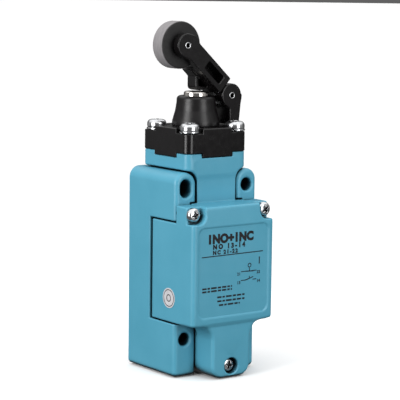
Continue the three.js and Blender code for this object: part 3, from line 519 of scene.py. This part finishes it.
def on_lever(along, above):
    """A place in x and z from its place on the lever."""
    slope = math.atan2(PIVOT_Z - ROLLER_Z, PIVOT_X - ROLLER_X)
    right = along * math.cos(slope) - above * math.sin(slope)
    return ROLLER_X + right, ROLLER_Z + along * math.sin(slope) + above * math.cos(slope)


def presser(x, z):
    """The nose under the lever that bears on the plunger, with its web back to the pivot."""
    heel = [on_lever(11, CHEEK_LOWER + 1), on_lever(10.6, CHEEK_LOWER - 0.6)]
    post = [(NOSE_LEFT, 72.6), (NOSE_LEFT - 0.3, NOSE_LOW + 2), (NOSE_X, NOSE_LOW + 0.3)]
    web = [(5.0, NOSE_LOW + 0.85), (7.2, NOSE_LOW + 0.1), (PIVOT_X - HUB, PIVOT_Z), on_lever(26, 0)]
    nose = rounded_meet(circle(x, z, NOSE_X, NOSE_LOW + NOSE, NOSE), NOSE_LEFT - 0.3 - x, 0.6)
    return np.minimum(polygon(x, z, heel + post + web), nose)


def lever(x, d, z):
    t = d - AXIS
    along, above = lever_axes(x, z)
    reach = math.hypot(PIVOT_X - ROLLER_X, PIVOT_Z - ROLLER_Z)
    front, back = LEVER_FRONT - AXIS, LEVER_BACK - AXIS
    bar = rectangle(along, above, 0, CHEEK_END, CHEEK_LOWER, CHEEK_UPPER, 0.5)
    cheek = raised(join(bar, circle(along, above, 0, 0, CHEEK_ROUND), 2.0), t, CHEEK_BACK, front, 0.45)
    arm = cut(bar, circle(along, above, 0, 0, ROLLER_RADIUS + 1), 0.5)
    body = np.minimum(cheek, raised(arm, t, back, front - 1, 0.45))
    spacer = raised(circle(along, above, 0, 0, 2.4), t, ROLLER_FRONT - AXIS + 0.15, CHEEK_BACK + 1)
    hub = raised(circle(x, z, PIVOT_X, PIVOT_Z, HUB), t, back, HUB_FRONT, 0.3)
    web = rectangle(along, above, 20, reach, CHEEK_LOWER, CHEEK_UPPER - 0.8)
    web = raised(web, t, back, HUB_FRONT, 0.3)
    nose = raised(presser(x, z), t, back, NOSE_FRONT, 0.4)
    body = join(join(body, np.minimum(hub, web), 0.6), nose, 0.5)
    body = np.minimum(body, spacer)
    window = rectangle(along, above, WINDOW_START, WINDOW_END, WINDOW_LOWER, WINDOW_UPPER, 0.5)
    hollow = polygon(x, z, [(0.3, 69.1), (4.4, 68.6), on_lever(17.4, CHEEK_LOWER), (0.3, 71.8)])
    body = cut(body, raised(window, t, 1.5, 2 * front), 0.3)
    body = cut(body, raised(hollow, t, -2.8, 2 * front), 0.3)
    bore = RIVET + 0.1
    pins = np.minimum(circle(along, above, 0, 0, bore), circle(x, z, PIVOT_X, PIVOT_Z, bore))
    return cut(body, pins, 0.15)


# ---------------------------------------------------------------- screws and washers


def pan_screw(radius, height, shank_radius, shank):
    """A cross-recessed pan head screw along z, its seat at z = 0."""

    def field(x, d, z):
        around = np.hypot(x, d)
        dome = np.hypot(around, (z - height + 3.2 * radius) * 0.98) - 3.2 * radius
        head = rounded_meet(rounded_meet(around - radius, dome, 0.32 * radius), -z, 0.1 * radius)
        depth = height - z
        wing_length = 0.56 * radius - 0.35 * depth
        wing_half = 0.13 * radius - 0.06 * depth
        wings = np.minimum(
            rounded_meet(np.abs(x) - wing_length, np.abs(d) - wing_half, 0.03 * radius),
            rounded_meet(np.abs(d) - wing_length, np.abs(x) - wing_half, 0.03 * radius),
        )
        centre = around - (0.27 * radius - 0.1 * depth)
        recess = np.maximum(join(wings, centre, 0.08 * radius), depth - 0.6 * height)
        p, q = (x + d) * math.sqrt(0.5), (x - d) * math.sqrt(0.5)
        ticks = np.minimum(
            np.maximum(np.abs(p) - 0.72 * radius, np.abs(q) - 0.03 * radius),
            np.maximum(np.abs(q) - 0.72 * radius, np.abs(p) - 0.03 * radius),
        )
        head = cut(head, recess, 0.04 * radius)
        head = np.maximum(head, -np.maximum(ticks, -dome - 0.05 * radius))
        shaft = rounded_meet(around - shank_radius, between(z, -shank, 0.3 * height), 0.2)
        return join(head, shaft, 0.1)

    return field


def spring_washer(inner, outer, thickness):
    """A split ring whose two ends stand a little apart in height."""

    def field(x, d, z):
        turn = np.arctan2(d, x) / (2 * math.pi)
        lift = z - thickness / 2 - turn * 0.25
        flat = np.abs(lift) - thickness / 2 + 0.12
        ring = rounded_meet(between(np.hypot(x, d), inner, outer), flat, 0.12)
        gap = np.maximum(np.abs(d + 0.2 * lift) - 0.22, x)
        return cut(ring, gap, 0.05)

    return field


def placed(mesh, name, place, turn=0.0, forward=False):
    """An object of a shared mesh at (x, depth, z), turned about its own axis, facing up or forward."""
    piece = bpy.data.objects.new(name, mesh)
    bpy.context.scene.collection.objects.link(piece)
    facing = Matrix.Rotation(math.radians(90), 4, "X") if forward else Matrix.Identity(4)
    x, depth, z = place
    move = Matrix.Translation(Vector((x, -depth, z)) * MM)
    piece.matrix_world = move @ facing @ Matrix.Rotation(math.radians(turn), 4, "Z")
    return piece


# ---------------------------------------------------------------- materials


class Finish:
    """A principled material whose textures follow the piece's own coordinates, in millimetres."""

    def __init__(self, name, **sockets):
        self.material = bpy.data.materials.new(name)
        self.material.use_nodes = True
        self.nodes, self.links = self.material.node_tree.nodes, self.material.node_tree.links
        self.surface = self.nodes["Principled BSDF"]
        for socket, value in sockets.items():
            self.surface.inputs[socket.replace("_", " ")].default_value = value
        self.place = self.nodes.new("ShaderNodeTexCoord").outputs["Object"]

    def noise(self, size, detail=2.0, stretch=(1, 1, 1)):
        """Soft noise whose features are about this many millimetres across."""
        scaled = self.nodes.new("ShaderNodeMapping")
        scaled.inputs["Scale"].default_value = [1 / (size * MM * s) for s in stretch]
        self.links.new(self.place, scaled.inputs["Vector"])
        noise = self.nodes.new("ShaderNodeTexNoise")
        noise.inputs["Scale"].default_value = 1.0
        noise.inputs["Detail"].default_value = detail
        self.links.new(scaled.outputs["Vector"], noise.inputs["Vector"])
        return noise.outputs["Fac"]

    def ramp(self, factor, low, high, start=0.3, end=0.7):
        ramp = self.nodes.new("ShaderNodeValToRGB")
        ramp.color_ramp.elements[0].position, ramp.color_ramp.elements[1].position = start, end
        ramp.color_ramp.elements[0].color, ramp.color_ramp.elements[1].color = (*low, 1), (*high, 1)
        self.links.new(factor, ramp.inputs["Fac"])
        return ramp.outputs["Color"]

    def colour(self, factor, low, high, start=0.3, end=0.7):
        self.links.new(self.ramp(factor, low, high, start, end), self.surface.inputs["Base Color"])
        return self

    def paint_hollow_shade(self, colour, dark, distance, start, end):
        """Paints shade into the base colour: turns dark where walls closer than this many millimetres
        shut the surface in.
        """
        open_sky = self.nodes.new("ShaderNodeAmbientOcclusion")
        open_sky.samples = 8
        open_sky.inputs["Distance"].default_value = distance * MM
        mask = self.nodes.new("ShaderNodeMapRange")
        mask.inputs["From Min"].default_value, mask.inputs["From Max"].default_value = start, end
        self.links.new(open_sky.outputs["AO"], mask.inputs["Value"])
        blend = self.nodes.new("ShaderNodeMix")
        blend.data_type = "RGBA"
        self.links.new(mask.outputs["Result"], blend.inputs["Factor"])
        blend.inputs[6].default_value = (*dark, 1)
        self.links.new(colour, blend.inputs[7])
        self.links.new(blend.outputs[2], self.surface.inputs["Base Color"])

    def roughness(self, factor, low, high):
        span = self.nodes.new("ShaderNodeMapRange")
        span.inputs["To Min"].default_value, span.inputs["To Max"].default_value = low, high
        span.inputs["From Min"].default_value, span.inputs["From Max"].default_value = 0.3, 0.7
        self.links.new(factor, span.inputs["Value"])
        self.links.new(span.outputs["Result"], self.surface.inputs["Roughness"])
        return self

    def bump(self, factor, height, strength=0.3):
        """Relief of this height in millimetres."""
        bump = self.nodes.new("ShaderNodeBump")
        bump.inputs["Distance"].default_value = height * MM
        bump.inputs["Strength"].default_value = strength
        self.links.new(factor, bump.inputs["Height"])
        self.links.new(bump.outputs["Normal"], self.surface.inputs["Normal"])
        return self


def teal_powder():
    """Powder coat with a fine texture, with painted shade turning it near black in deep holes and gaps.
    """
    look = Finish("teal_powder_coat", Specular_IOR_Level=0.45)
    coat = look.ramp(look.noise(14, 3), (0.072, 0.305, 0.425), (0.082, 0.325, 0.45))
    # Painted shade: near black inside holes and narrow gaps, where walls within 8 mm close the surface
    # in.
    look.paint_hollow_shade(coat, (0.003, 0.008, 0.011), 8, 0.28, 0.55)
    look.roughness(look.noise(3), 0.34, 0.44)
    return look.bump(look.noise(0.9, 2), 0.06, 0.25).material


def satin_black(name="satin_black", smooth=0.2, rough=0.28):
    look = Finish(name, Specular_IOR_Level=0.38)
    look.colour(look.noise(5, 3), (0.0026, 0.0022, 0.0025), (0.0044, 0.0037, 0.0041))
    look.roughness(look.noise(2), smooth, rough)
    return look.bump(look.noise(0.45, 2), 0.03, 0.2).material


def roller_nylon():
    """Black nylon: dark on its front face, paler on its other sides with painted sheen and some wear."""
    look = Finish("roller_nylon", Specular_IOR_Level=0.4)
    # Painted sheen with some wear: every face that does not face forward is made far paler.
    facing = look.nodes.new("ShaderNodeSeparateXYZ")
    look.links.new(look.nodes.new("ShaderNodeTexCoord").outputs["Normal"], facing.inputs["Vector"])
    sheen_and_wear_mask = look.nodes.new("ShaderNodeMapRange")
    sheen_and_wear_mask.interpolation_type = "SMOOTHSTEP"
    sheen_and_wear_mask.inputs["From Min"].default_value, sheen_and_wear_mask.inputs["From Max"].default_value = -0.95, -0.2
    look.links.new(facing.outputs["Y"], sheen_and_wear_mask.inputs["Value"])
    shade = look.nodes.new("ShaderNodeMix")
    shade.data_type = "RGBA"
    face = look.ramp(look.noise(4, 4), (0.003, 0.0027, 0.003), (0.006, 0.0054, 0.0058))
    sheen_and_wear = look.ramp(look.noise(3, 4, (1, 0.3, 1)), (0.21, 0.2, 0.207), (0.27, 0.257, 0.265))
    look.links.new(sheen_and_wear_mask.outputs["Result"], shade.inputs["Factor"])
    look.links.new(face, shade.inputs[6])
    look.links.new(sheen_and_wear, shade.inputs[7])
    look.links.new(shade.outputs[2], look.surface.inputs["Base Color"])
    look.roughness(look.noise(1.5), 0.5, 0.6)
    return look.bump(look.noise(0.35, 3), 0.03, 0.4).material


def black_rubber():
    look = Finish("black_rubber", Specular_IOR_Level=0.25)
    look.colour(look.noise(3), (0.006, 0.006, 0.0065), (0.01, 0.01, 0.0105))
    return look.roughness(look.noise(1), 0.7, 0.85).bump(look.noise(0.4), 0.03, 0.4).material


def bright_zinc():
    look = Finish("bright_zinc", Metallic=1.0)
    plate = look.ramp(look.noise(1.2, 3), (0.55, 0.56, 0.58), (0.74, 0.75, 0.76))
    # Painted shade: near black in the cross recesses of the screws and the hollow ends of the rivets.
    look.paint_hollow_shade(plate, (0.02, 0.02, 0.02), 2, 0.3, 0.6)
    look.roughness(look.noise(0.6), 0.16, 0.26)
    return look.bump(look.noise(0.25, 3), 0.012, 0.4).material


def polished_nickel():
    look = Finish("polished_nickel", Metallic=1.0)
    look.colour(look.noise(2), (0.72, 0.69, 0.65), (0.8, 0.77, 0.73))
    return look.roughness(look.noise(1.0, 2, (6, 6, 0.4)), 0.1, 0.18).material


def spring_steel():
    look = Finish("spring_steel", Metallic=1.0)
    look.colour(look.noise(1), (0.42, 0.42, 0.43), (0.56, 0.56, 0.57))
    return look.roughness(look.noise(0.5), 0.28, 0.42).material


def contact_brass():
    look = Finish("contact_brass", Metallic=1.0)
    look.colour(look.noise(2, 3), (0.62, 0.43, 0.19), (0.74, 0.53, 0.26))
    return look.roughness(look.noise(0.8), 0.26, 0.4).material


def black_moulding():
    look = Finish("black_moulding", Specular_IOR_Level=0.4)
    look.colour(look.noise(2, 4), (0.016, 0.015, 0.014), (0.026, 0.024, 0.022))
    return look.roughness(look.noise(1), 0.5, 0.66).bump(look.noise(0.3), 0.02, 0.4).material


def white_moulding():
    look = Finish("white_moulding")
    look.colour(look.noise(3), (0.7, 0.69, 0.66), (0.78, 0.77, 0.74))
    return look.roughness(look.noise(1), 0.36, 0.48).material


def label_film():
    look = Finish("label_film")
    look.colour(look.noise(2), (0.52, 0.51, 0.53), (0.6, 0.59, 0.61))
    return look.roughness(look.noise(0.6), 0.3, 0.42).material


def black_ink():
    look = Finish("black_ink", Specular_IOR_Level=0.3)
    look.colour(look.noise(0.5), (0.006, 0.006, 0.008), (0.012, 0.012, 0.014))
    return look.roughness(look.noise(0.4), 0.45, 0.6).material


TEAL, BLACK, NYLON, RUBBER = teal_powder(), satin_black(), roller_nylon(), black_rubber()
TURNED_BLACK = satin_black("satin_black_turned", 0.3, 0.38)
ZINC, NICKEL, STEEL, BRASS = bright_zinc(), polished_nickel(), spring_steel(), contact_brass()
MOULDING, WHITE, FILM, INK = black_moulding(), white_moulding(), label_film(), black_ink()

SLOT_FINISH = {
    "teal_paint": TEAL,
    "black_head": BLACK,
    "roller_nylon": NYLON,
    "black_rubber": RUBBER,
    "bright_zinc": ZINC,
    "nickel_plunger": NICKEL,
    "spring_steel": STEEL,
    "black_moulding": MOULDING,
    "white_plastic": WHITE,
    "contact_brass": BRASS,
    "label_white": FILM,
}


def dress_frame():
    """Gives every CAD node the finish of its material slot."""
    for part in frame["record"]["subparts"]:
        node = frame["nodes"][part["node"]]
        node.data.materials.clear()
        node.data.materials.append(SLOT_FINISH[part["material_slot"]])


# ---------------------------------------------------------------- pieces

GRID = 1.0


def show_shape(name, field, low, high, step, body, node, slot_name):
    show(name, shape_mesh(name, field, low, high, step * GRID), body, node, slot_name)


def build_castings():
    low, high = (-HALF_WIDTH, 0, BOTTOM), (HALF_WIDTH, BASE_FRONT, SHOULDER)
    show_shape("base_casting", base_housing, low, high, 0.4, "housing", "base_housing", "teal_paint")
    low, high = (-HALF_WIDTH, NECK_BACK, BOTTOM), (HALF_WIDTH, COVER_FRONT, NECK_TOP)
    show_shape("front_casting", front_housing, low, high, 0.4, "housing", "front_housing", "teal_paint")
    low, high = (-NECK, NECK_BACK, NECK_RECESS), (PIVOT_X + EAR, BASE_FRONT, PIVOT_Z + EAR)
    show_shape("head_casting", head_body, low, high, 0.28, "housing", "head_body", "black_head")


def build_lever():
    low = (ROLLER_X - CHEEK_ROUND, LEVER_BACK, PIVOT_Z - HUB)
    high = (PIVOT_X + HUB, LEVER_FRONT, ROLLER_Z + CHEEK_ROUND + 2)
    show_shape("roller_lever", lever, low, high, 0.22, "lever", "lever", "black_head")


def build_turret():
    foot = [(SEAL_BORE, TURRET_ROOT), (TURRET_SPIGOT, TURRET_ROOT), (TURRET_SPIGOT, TURRET_BASE)]
    cone = [(9.55, TURRET_BASE), (9.55, 55), (8.35, 59.3), (7.85, 62.4), (7.75, TURRET_TOP)]
    bore = [(TURRET_BORE, TURRET_TOP), (TURRET_BORE, SEAL_TOP), (SEAL_BORE, SEAL_TOP)]
    outline = eased(foot + cone + bore, {3: 0.25, 4: 2.5, 5: 5, 6: 5, 7: 1.5, 8: 0.35})
    mesh = turned_mesh("turret_shell", outline, (0, AXIS))
    mesh.materials.append(TURNED_BLACK)
    show("turret_shell", mesh, "housing", "guide_turret", "black_head")


def build_plunger():
    stem = [(0, PLUNGER_LOW), (STEM_TIP, PLUNGER_LOW), (STEM_TIP, STEM_STEP), (STEM, STEM_STEP + 1)]
    collar = [(STEM, COLLAR_LOW), (COLLAR, COLLAR_LOW), (COLLAR, COLLAR_TOP), (PLUNGER, COLLAR_TOP)]
    crown = [(PLUNGER, PLUNGER_TOP), (0, PLUNGER_TOP)]
    outline = eased(stem + collar + crown, {1: 0.3, 5: 0.2, 6: 0.2, 8: 0.7})
    mesh = turned_mesh("plunger_pin", outline, (0, AXIS))
    show("plunger_pin", mesh, "plunger", "plunger", "nickel_plunger")


def build_roller():
    """A wheel with a shallow ring sunk round its hub on both faces."""
    bore, hub, groove = RIVET + 0.15, ROLLER_HUB, ROLLER_GROOVE
    back, front = ROLLER_BACK, ROLLER_FRONT
    back_floor, front_floor = back + ROLLER_SUNK, front - ROLLER_SUNK
    wheel = [(bore, back), (hub, back), (hub + 0.2, back_floor), (groove - 0.3, back_floor)]
    wheel += [(groove, back), (ROLLER_RADIUS, back), (ROLLER_RADIUS, front), (groove, front)]
    wheel += [(groove - 0.3, front_floor), (hub + 0.2, front_floor), (hub, front), (bore, front)]
    half = [0.15, 0.2, 0.2, 0.2, 0.3, ROLLER_EDGE]
    outline = eased(wheel, dict(enumerate(half + half[::-1])))
    mesh = turned_mesh("tyre", outline, (ROLLER_X, ROLLER_Z), forward=True, segments=128)
    show("roller_wheel", mesh, "roller", "roller", "roller_nylon")


def build_rivet(name, node, body, back, place):
    """A headed pin with a hollow front end whose rim stands a little out of the bore."""
    face, rim = LEVER_FRONT, LEVER_FRONT + 0.3
    pin = [(0, back - 0.6), (2.3, back - 0.6), (2.3, back - 0.1), (RIVET, back - 0.1)]
    pin += [(RIVET, face + 0.02), (RIVET + 0.06, face + 0.03), (RIVET + 0.06, rim), (RIVET_HOLE, rim)]
    pin += [(RIVET_HOLE - 0.06, face - RIVET_HOLE_DEPTH), (0, face - RIVET_HOLE_DEPTH)]
    outline = eased(pin, {1: 0.25, 6: 0.18, 7: 0.18})
    mesh = turned_mesh(name, outline, place, forward=True, segments=48)
    show(name, mesh, body, node, "bright_zinc")


def build_rivets():
    build_rivet("roller_rivet_pin", "roller_rivet", "lever", ROLLER_BACK, (ROLLER_X, ROLLER_Z))
    build_rivet("pivot_rivet_pin", "pivot_rivet", "housing", AXIS + EAR_BACK, (PIVOT_X, PIVOT_Z))


def build_head_screws(step):
    r, h, shank = HEAD_SCREW_RADIUS, HEAD_SCREW_HEIGHT, 4
    screw = shape_mesh("head_screw", pan_screw(r, h, 1.8, shank), (-r, -r, -shank), (r, r, h), step)
    low, high = (-4.1, -4.1, -0.2), (4.1, 4.1, 1.2)
    field = spring_washer(WASHER_INNER, WASHER_OUTER, WASHER_THICKNESS)
    washer = shape_mesh("split_washer", field, low, high, step * 0.8)
    corners = [(across, along) for across in (-1, 1) for along in (-1, 1)]
    for i, ((across, along), turn) in enumerate(zip(corners, (20, -35, 64, 8)), start=1):
        place = (across * HEAD_SCREW, AXIS + along * HEAD_SCREW)
        piece = placed(screw, f"head_screw_{i}.detail", (*place, POCKET_FLOOR + 1.1), turn)
        ring = placed(washer, f"head_washer_{i}.detail", (*place, POCKET_FLOOR + 0.12), turn + 40)
        dress(piece, "housing", f"head_screw_{i}", "bright_zinc")
        dress(ring, "housing", f"head_washer_{i}", "bright_zinc")


def build_cover_screws(step):
    r, h, shank = SCREW_RADIUS, SCREW_HEIGHT, 4
    screw = shape_mesh("cover_screw", pan_screw(r, h, 1.6, shank), (-r, -r, -shank), (r, r, h), step)
    for side, x, z, turn in (
        ("left", -SCREW_X, SCREW_Z, 12),
        ("right", SCREW_X, SCREW_Z, 38),
        ("lower", 0, LOWER_SCREW_Z, -10),
    ):
        place = (x, SCREW_SEAT + 0.05, z)
        piece = placed(screw, f"cover_screw_{side}.detail", place, turn, forward=True)
        dress(piece, "housing", f"cover_screw_{side}", "bright_zinc")


def ink_bar(mesh, start, end, width):
    """A straight printed stroke between two places on the panel, in x and z."""
    (x1, z1), (x2, z2) = start, end
    length = math.hypot(x2 - x1, z2 - z1)
    side = (width / 2 * (z1 - z2) / length, width / 2 * (x2 - x1) / length)
    floor = COVER_FRONT - PANEL_DEPTH
    layers = []
    for depth in (floor - 0.1, floor + INK_HEIGHT):
        outline = [(x1 - side[0], z1 - side[1]), (x2 - side[0], z2 - side[1])]
        outline += [(x2 + side[0], z2 + side[1]), (x1 + side[0], z1 + side[1])]
        layers.append([mesh.verts.new((x * MM, -depth * MM, z * MM)) for x, z in outline])
    back, front = layers
    mesh.faces.new(back[::-1])
    mesh.faces.new(front)
    for i in range(4):
        j = (i + 1) % 4
        mesh.faces.new((back[i], back[j], front[j], front[i]))


def ink_path(mesh, places, width):
    for start, end in zip(places, places[1:]):
        ink_bar(mesh, start, end, width)


def fine_print(mesh, left, right, z, height):
    """A line of print too small to read: word-long bars."""
    words = [2.1, 1.2, 2.8, 1.6]
    x, i = left, 0
    while x < right - 0.4:
        end = min(x + words[i % len(words)], right)
        ink_bar(mesh, (x, z), (end, z), height)
        x, i = end + 0.5, i + 1


def contact_symbol(mesh, z, lift):
    """A switch symbol between its two terminals, closed at no lift."""
    ink_bar(mesh, (3.8, z), (6.2, z), 0.35)
    ink_bar(mesh, (9.6, z), (11.5, z), 0.35)
    ink_bar(mesh, (6.1, z), (9.9, z + lift), 0.4)
    ink_bar(mesh, (8.0, z + lift * 0.5), (8.0, z + 1.5), 0.3)


def lettering(name, text, x, z, height, bold, spread=1.0):
    """Generic lettering on the panel: contact kinds and terminal numbers only."""
    font = bpy.data.curves.new(name, "FONT")
    font.body, font.size, font.space_character = text, height / 0.7 * MM, spread
    font.offset, font.resolution_u = bold * MM, 3
    font.extrude = 0.06 * MM
    words = bpy.data.objects.new(name, font)
    bpy.context.scene.collection.objects.link(words)
    bpy.context.view_layer.update()
    mesh = bpy.data.meshes.new_from_object(words)
    bpy.data.objects.remove(words)
    turn = Matrix.Rotation(math.radians(90), 4, "X")
    place = Vector((x, -(COVER_FRONT - PANEL_DEPTH + INK_HEIGHT - 0.06), z)) * MM
    mesh.transform(Matrix.Translation(place) @ turn)
    return mesh


def sticker_ring(radius, width):
    """A printed circle on the round sticker on the left side."""
    (left, _), (back, front), (low, high) = extent("side_label")
    inner, outer = radius - width / 2, radius + width / 2
    outline = [(inner, -0.1), (outer, -0.1), (outer, INK_HEIGHT / 2), (inner, INK_HEIGHT / 2)]
    mesh = turned_mesh("sticker_ring", outline, (0, 0), segments=72)
    turn = Matrix.Rotation(math.radians(-90), 4, "Y")
    middle = Vector((left, -(back + front) / 2, (low + high) / 2)) * MM
    mesh.transform(Matrix.Translation(middle) @ turn)
    return mesh


def build_printing():
    ink = bmesh.new()
    ink_bar(ink, (-15.6, 4.4), (14.6, 4.6), 0.38)
    contact_symbol(ink, -2.9, -0.15)
    contact_symbol(ink, -6.4, 1.0)
    ring = [(8 + 0.75 * math.cos(a), -0.6 + 0.75 * math.sin(a)) for a in np.linspace(0, 2 * math.pi, 17)]
    ink_path(ink, ring, 0.35)
    for left, right, z in (
        (-15.2, -0.6, -8.1),
        (-15.2, -0.6, -9.3),
        (-7.8, 6.1, -12.0),
        (-7.8, 6.1, -13.6),
        (-6.9, 3.4, -15.2),
    ):
        fine_print(ink, left, right, z, 0.7)
    ink_bar(ink, (12.9, 2.4), (12.9, -0.4), 0.5)
    for words in (
        lettering("contact_kinds", "1NO+1NC", -12.9, 9.6, 3.3, 0.32, 1.04),
        lettering("open_pair", "NO 13-14", -10.2, 7.2, 1.8, 0.18, 1.55),
        lettering("closed_pair", "NC 21-22", -10.2, 5.1, 1.5, 0.15, 1.45),
        lettering("terminal_13", "13", 1.9, -7.7, 1.1, 0.06, 1.1),
        lettering("terminal_14", "14", 11.7, -7.7, 1.1, 0.06, 1.1),
        lettering("terminal_21", "21", 1.9, -4.2, 1.1, 0.06, 1.1),
        lettering("terminal_22", "22", 11.7, -4.2, 1.1, 0.06, 1.1),
    ):
        ink.from_mesh(words)
        bpy.data.meshes.remove(words)
    for circle_mesh in (sticker_ring(3.3, 0.3), sticker_ring(1.3, 0.4)):
        ink.from_mesh(circle_mesh)
        bpy.data.meshes.remove(circle_mesh)
    bmesh.ops.remove_doubles(ink, verts=ink.verts, dist=1e-6)
    mesh = bpy.data.meshes.new("panel_printing")
    ink.to_mesh(mesh)
    piece = bpy.data.objects.new("panel_printing", mesh)
    mesh.materials.append(INK)
    bpy.context.scene.collection.objects.link(piece)
    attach(piece, "housing")


# ---------------------------------------------------------------- camera, floor and lights


def add_camera():
    """Stands to the left of the switch and a little above it, as the photograph does."""
    camera = bpy.data.objects.new("camera", bpy.data.cameras.new("camera"))
    camera.data.lens = 152.5
    camera.data.clip_start, camera.data.clip_end = 0.05, 10
    azimuth, elevation, roll = math.radians(-36.54), math.radians(7.6), math.radians(0.706)
    facing = Quaternion((0, 0, 1), azimuth) @ Quaternion((1, 0, 0), math.radians(90) - elevation)
    camera.rotation_mode = "QUATERNION"
    camera.rotation_quaternion = facing @ Quaternion((0, 0, 1), roll)
    camera.location = Vector((-401.77, -563.42, 113.38)) * MM
    bpy.context.scene.collection.objects.link(camera)
    bpy.context.scene.camera = camera


def add_softbox(name, azimuth, distance, size, power, lift=0.0):
    """An upright rectangular light near the floor. An azimuth of 0 is straight in front."""
    light = bpy.data.lights.new(name, "AREA")
    light.shape, light.size, light.size_y = "RECTANGLE", size[0], size[1]
    light.energy = power
    lamp = bpy.data.objects.new(name, light)
    turn = math.radians(azimuth)
    out = Vector((math.sin(turn), -math.cos(turn), 0))
    lamp.location = Vector((0, -AXIS, BOTTOM)) * MM + out * distance + Vector((0, 0, lift + size[1] / 2))
    lamp.rotation_mode = "QUATERNION"
    lamp.rotation_quaternion = out.to_track_quat("Z", "Y")
    bpy.context.scene.collection.objects.link(lamp)


def add_world():
    """A wide overhead diffuser: bright above, grey towards the horizon and below it."""
    world = bpy.data.worlds.new("studio")
    world.use_nodes = True
    nodes, links = world.node_tree.nodes, world.node_tree.links
    direction = nodes.new("ShaderNodeSeparateXYZ")
    links.new(nodes.new("ShaderNodeTexCoord").outputs["Generated"], direction.inputs["Vector"])
    level = nodes.new("ShaderNodeMapRange")
    level.interpolation_type = "SMOOTHSTEP"
    level.inputs["From Min"].default_value, level.inputs["From Max"].default_value = 0.25, 0.75
    level.inputs["To Min"].default_value, level.inputs["To Max"].default_value = 0.12, 1.45
    links.new(direction.outputs["Z"], level.inputs["Value"])
    links.new(level.outputs["Result"], nodes["Background"].inputs["Strength"])
    nodes["Background"].inputs["Color"].default_value = (1, 1, 1, 1)
    bpy.context.scene.world = world


def add_studio():
    mesh = bpy.data.meshes.new("studio_floor")
    reach, level = 40.0, BOTTOM * MM - 0.0004
    corners = [(x * reach, y * reach, level) for x, y in ((-1, -1), (1, -1), (1, 1), (-1, 1))]
    mesh.from_pydata(corners, [], [(0, 1, 2, 3)])
    floor = bpy.data.objects.new("studio_floor", mesh)
    look = Finish("floor_paper", Specular_IOR_Level=0.1)
    look.colour(look.noise(40), (0.93, 0.93, 0.93), (0.95, 0.95, 0.95))
    look.roughness(look.noise(20), 0.85, 0.95)
    mesh.materials.append(look.material)
    bpy.context.scene.collection.objects.link(floor)
    floor.visible_glossy = floor.visible_diffuse = False
    add_softbox("left_box", -84, 0.5, (0.24, 0.36), 2.3)
    add_softbox("front_box", 8, 0.5, (0.22, 0.36), 1.18)
    add_softbox("low_front_box", 0, 0.22, (0.12, 0.05), 0.03)
    add_softbox("back_left_box", -140, 0.6, (0.4, 0.56), 0.15)
    add_softbox("front_right_box", 36, 0.5, (0.5, 0.4), 0.15, lift=0.05)
    add_world()
    bpy.context.scene.view_settings.view_transform = "Standard"


add_camera()
dress_frame()
build_castings()
build_lever()
build_turret()
build_plunger()
build_roller()
build_rivets()
build_head_screws(0.12)
build_cover_screws(0.102)
build_printing()
add_studio()
